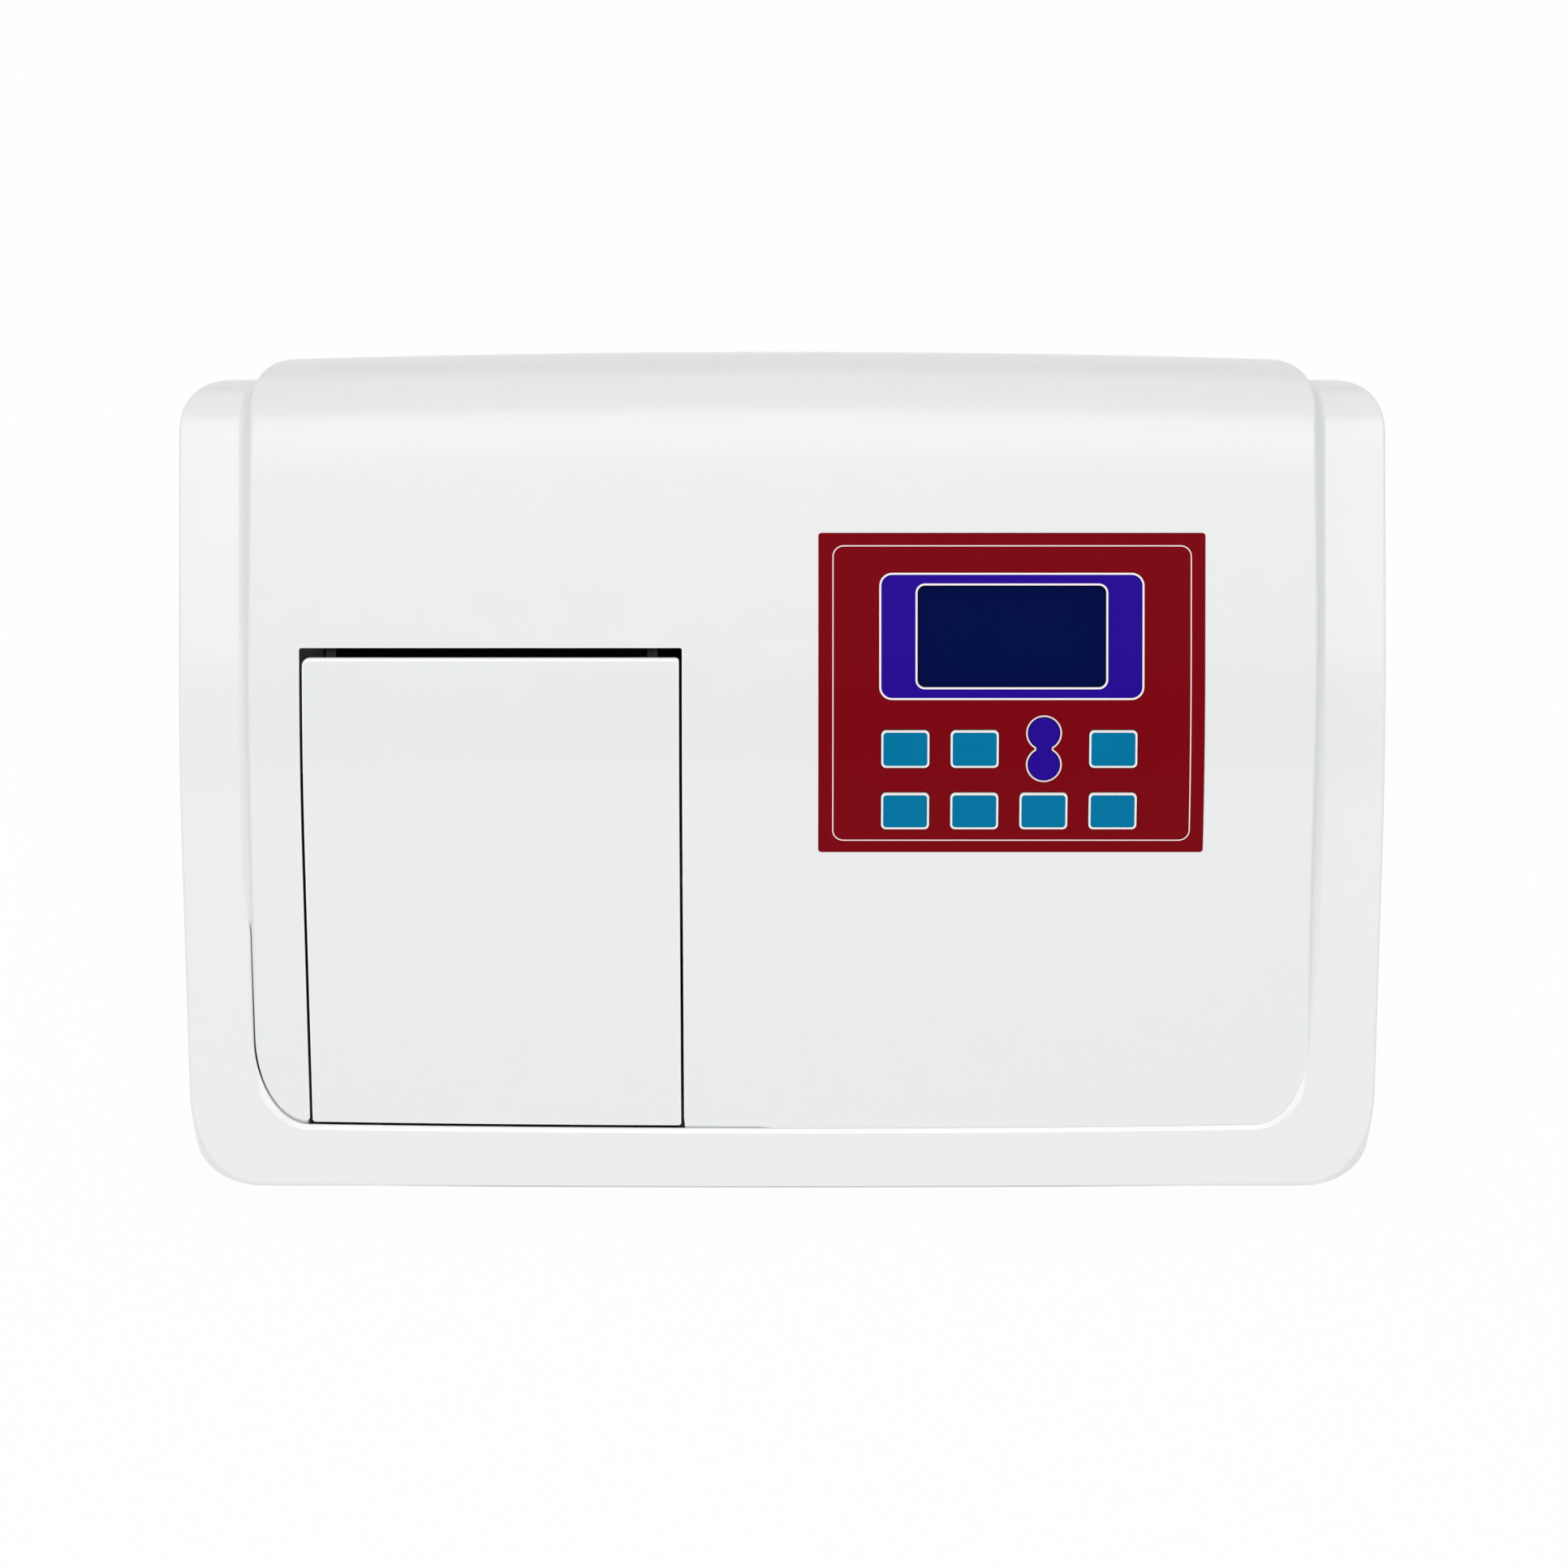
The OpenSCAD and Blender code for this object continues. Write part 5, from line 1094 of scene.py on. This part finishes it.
over_loops.append(hole(eight_at(0.3), r=0.06, w=PAD_T))
frame_line = [round_rect(pad_x0 + LINE_LEFT + i, pad_x1 - LINE_RIGHT - i, arc(PAD_BOTTOM) + LINE_IN + i,
                         PAD_TOP - LINE_IN - i, LINE_R - i, n=8, step=6) for i in (0, LINE)]
shell(overlay, Lifted(band_flat, PAD_PROUD), over_loops, PAD_T, BAND_QS,
      marks=frame_line + [eight_at(0.95)], mats=(0, 1))
overlay.make("keypad_sheet", [M["red"], M["line"]], "case", "overlay_red", "keypad_overlay")


def window(d, r):
    """The outline of the display's window, d wider on each side."""
    return round_rect(win[0] - d, win[1] + d, arc(win[2]) - d, win[3] + d, r, n=8, step=6)


bezel = Skin()
BEZEL_T = 0.5
bz = (PAD_X - BEZEL_W / 2, PAD_X + BEZEL_W / 2, arc(DISPLAY_V - BEZEL_H / 2), DISPLAY_V + BEZEL_H / 2)
bezel_loops = [loop(round_rect(*bz, BEZEL_R, n=10, step=6), r=0.15, w=BEZEL_T, mat=1),
               hole(window(0, WINDOW_R), r=0.15, w=BEZEL_T, mat=1)]
marks = [round_rect(bz[0] + RING, bz[1] - RING, bz[2] + RING, bz[3] - RING, BEZEL_R - RING, n=10, step=6),
         window(RING, WINDOW_R + RING)]
shell(bezel, Lifted(band_flat, PAD_PROUD + BEZEL_T), bezel_loops, BEZEL_T, BAND_QS, marks=marks, mats=(1, 0))
bezel.make("display_frame", [M["violet"], M["line"]], "case", "bezel_violet", "display_bezel")

# The display's recess has black walls down to the glass, painted shade for the shadow inside the window
RECESS_DEPTH, RECESS_WALL, CLEAR = 2.2, 0.35, 0.02
recess = Skin()
recess_loops = [loop(window(RECESS_WALL, 3.2), r=CLEAR, w=RECESS_DEPTH),
                hole(window(CLEAR, WINDOW_R), r=CLEAR, w=RECESS_DEPTH)]
shell(recess, Lifted(band_flat, PAD_PROUD - CLEAR), recess_loops, RECESS_DEPTH, BAND_QS)
recess.make("display_recess", [M["black"]], "case", "plug_black")


# How proud the keys stand, the depth of a cap and of the rocker, the printed border's width, the dish
KEY_PROUD, CAP_DEPTH, ROCKER_DEPTH, BORDER, DISH = 0.9, 5.4, 6.6, 0.82, 0.12


def keycap(name, col, row):
    skin = Skin()
    w, h = KEY_W / 2, KEY_H / 2
    surf = Flat(KEY_X + (col - 1) * KEY_PITCH, ROWS[row], KEY_PROUD, (w - 0.6, h - 0.6), DISH)
    body = loop(round_rect(-w, w, -h, h, 1.9, n=7, step=3), r=0.28, w=CAP_DEPTH, mat=1)
    mark = [round_rect(-w + BORDER, w - BORDER, -h + BORDER, h - BORDER, 1.35, n=7, step=3)]
    shell(skin, surf, [body], CAP_DEPTH, steps(-h + 1, h - 1, 1.3), xs=steps(-w + 1, w - 1, 1.5),
          marks=mark, mats=(1, 0))
    skin.make(name + "_shell", [M["teal"], M["line"]], name + "_cap", "key_teal", name)


for name, (col, row) in KEYS.items():
    keycap(name, col, row)

rocker = Skin()
rock_surf = Flat(rock_x, ROWS[0], KEY_PROUD)
shell(rocker, rock_surf, [loop(eight(0.0), r=0.25, w=ROCKER_DEPTH)], ROCKER_DEPTH, [])
rocker.make("rocker_shell", [M["violet"]], "rocker", "key_violet", "rocker_key")

# Stage, light and camera
def stage_material(name, share):
    """A floor that is diffuse for the light and, by its share, plain white for the eye and in mirrors."""
    m = bpy.data.materials.new(name)
    m.use_nodes = True
    nt = m.node_tree
    nt.nodes.clear()
    out = nt.nodes.new("ShaderNodeOutputMaterial")
    mix = nt.nodes.new("ShaderNodeMixShader")
    dif = nt.nodes.new("ShaderNodeBsdfDiffuse")
    put(dif, {"Color": (0.86, 0.86, 0.86, 1)})
    emi = nt.nodes.new("ShaderNodeEmission")
    put(emi, {"Color": (1, 1, 1, 1)})
    lp = nt.nodes.new("ShaderNodeLightPath")
    add = nt.nodes.new("ShaderNodeMath")
    add2 = nt.nodes.new("ShaderNodeMath")
    mul = nt.nodes.new("ShaderNodeMath")
    add2.use_clamp = True
    mul.operation = "MULTIPLY"
    put(mul, {1: share})
    link(nt, lp.outputs["Is Camera Ray"], add.inputs[0])
    link(nt, lp.outputs["Is Glossy Ray"], add.inputs[1])
    link(nt, add.outputs[0], add2.inputs[0])
    link(nt, lp.outputs["Is Transmission Ray"], add2.inputs[1])
    link(nt, add2.outputs[0], mul.inputs[0])
    link(nt, mul.outputs[0], mix.inputs["Fac"])
    link(nt, dif.outputs[0], mix.inputs[1])
    link(nt, emi.outputs[0], mix.inputs[2])
    link(nt, mix.outputs[0], out.inputs["Surface"])
    return m


bpy.ops.mesh.primitive_plane_add(size=12, location=(0, 0, 0))
floor = bpy.context.object
floor.name = "floor"
floor.data.materials.append(stage_material("floor_white", 0.97))

world = bpy.data.worlds.new("room")
bpy.context.scene.world = world
world.use_nodes = True
wt = world.node_tree
wt.nodes.clear()
w_out = wt.nodes.new("ShaderNodeOutputWorld")
w_mix = wt.nodes.new("ShaderNodeMixShader")
w_soft = wt.nodes.new("ShaderNodeBackground")
put(w_soft, {"Color": (0.985, 0.99, 1.0, 1), "Strength": 0.6})
w_seen = wt.nodes.new("ShaderNodeBackground")
put(w_seen, {"Color": (1, 1, 1, 1), "Strength": 1.0})
w_path = wt.nodes.new("ShaderNodeLightPath")
link(wt, w_path.outputs["Is Camera Ray"], w_mix.inputs["Fac"])
link(wt, w_soft.outputs[0], w_mix.inputs[1])
link(wt, w_seen.outputs[0], w_mix.inputs[2])
link(wt, w_mix.outputs[0], w_out.inputs["Surface"])


def area(name, place, target, size, watts, color=(1, 1, 1)):
    d = bpy.data.lights.new(name, "AREA")
    d.shape = "RECTANGLE"
    d.size, d.size_y = size
    d.energy = watts
    d.color = color
    ob = bpy.data.objects.new(name, d)
    ob.location = place
    ob.rotation_euler = (Vector(target) - Vector(place)).to_track_quat("-Z", "Y").to_euler()
    bpy.context.scene.collection.objects.link(ob)


area("key_light", (0.1, -0.39, 2.3), (0.1, -0.39, 0), (1.8, 1.34), 16.3)
area("front_light", (0.1, -2.4, 0.95), (0, 0, 0.1), (2.4, 1.4), 9)
area("fill_left", (-1.9, -0.3, 1.0), (0, 0, 0.1), (1.2, 1.2), 3)
area("back_light", (0.1, 2.2, 1.7), (0, 0, 0.1), (1.6, 1.0), 3)

# The camera's fit: lens, place and direction, for a square image of this many pixels
IMAGE_W = 1932
cam_data = bpy.data.cameras.new("camera")
cam_data.sensor_width = 36.0
cam_data.lens = 151.45
cam_data.shift_x = 2.2 / IMAGE_W
cam_data.clip_end = 50
cam = bpy.data.objects.new("camera", cam_data)
cam.location = (0, -1.2878, 2.4195)
cam.rotation_euler = Vector((0, 0.48459, -0.87474)).to_track_quat("-Z", "Y").to_euler()
bpy.context.scene.collection.objects.link(cam)
bpy.context.scene.camera = cam
bpy.context.scene.view_settings.view_transform = "Standard"
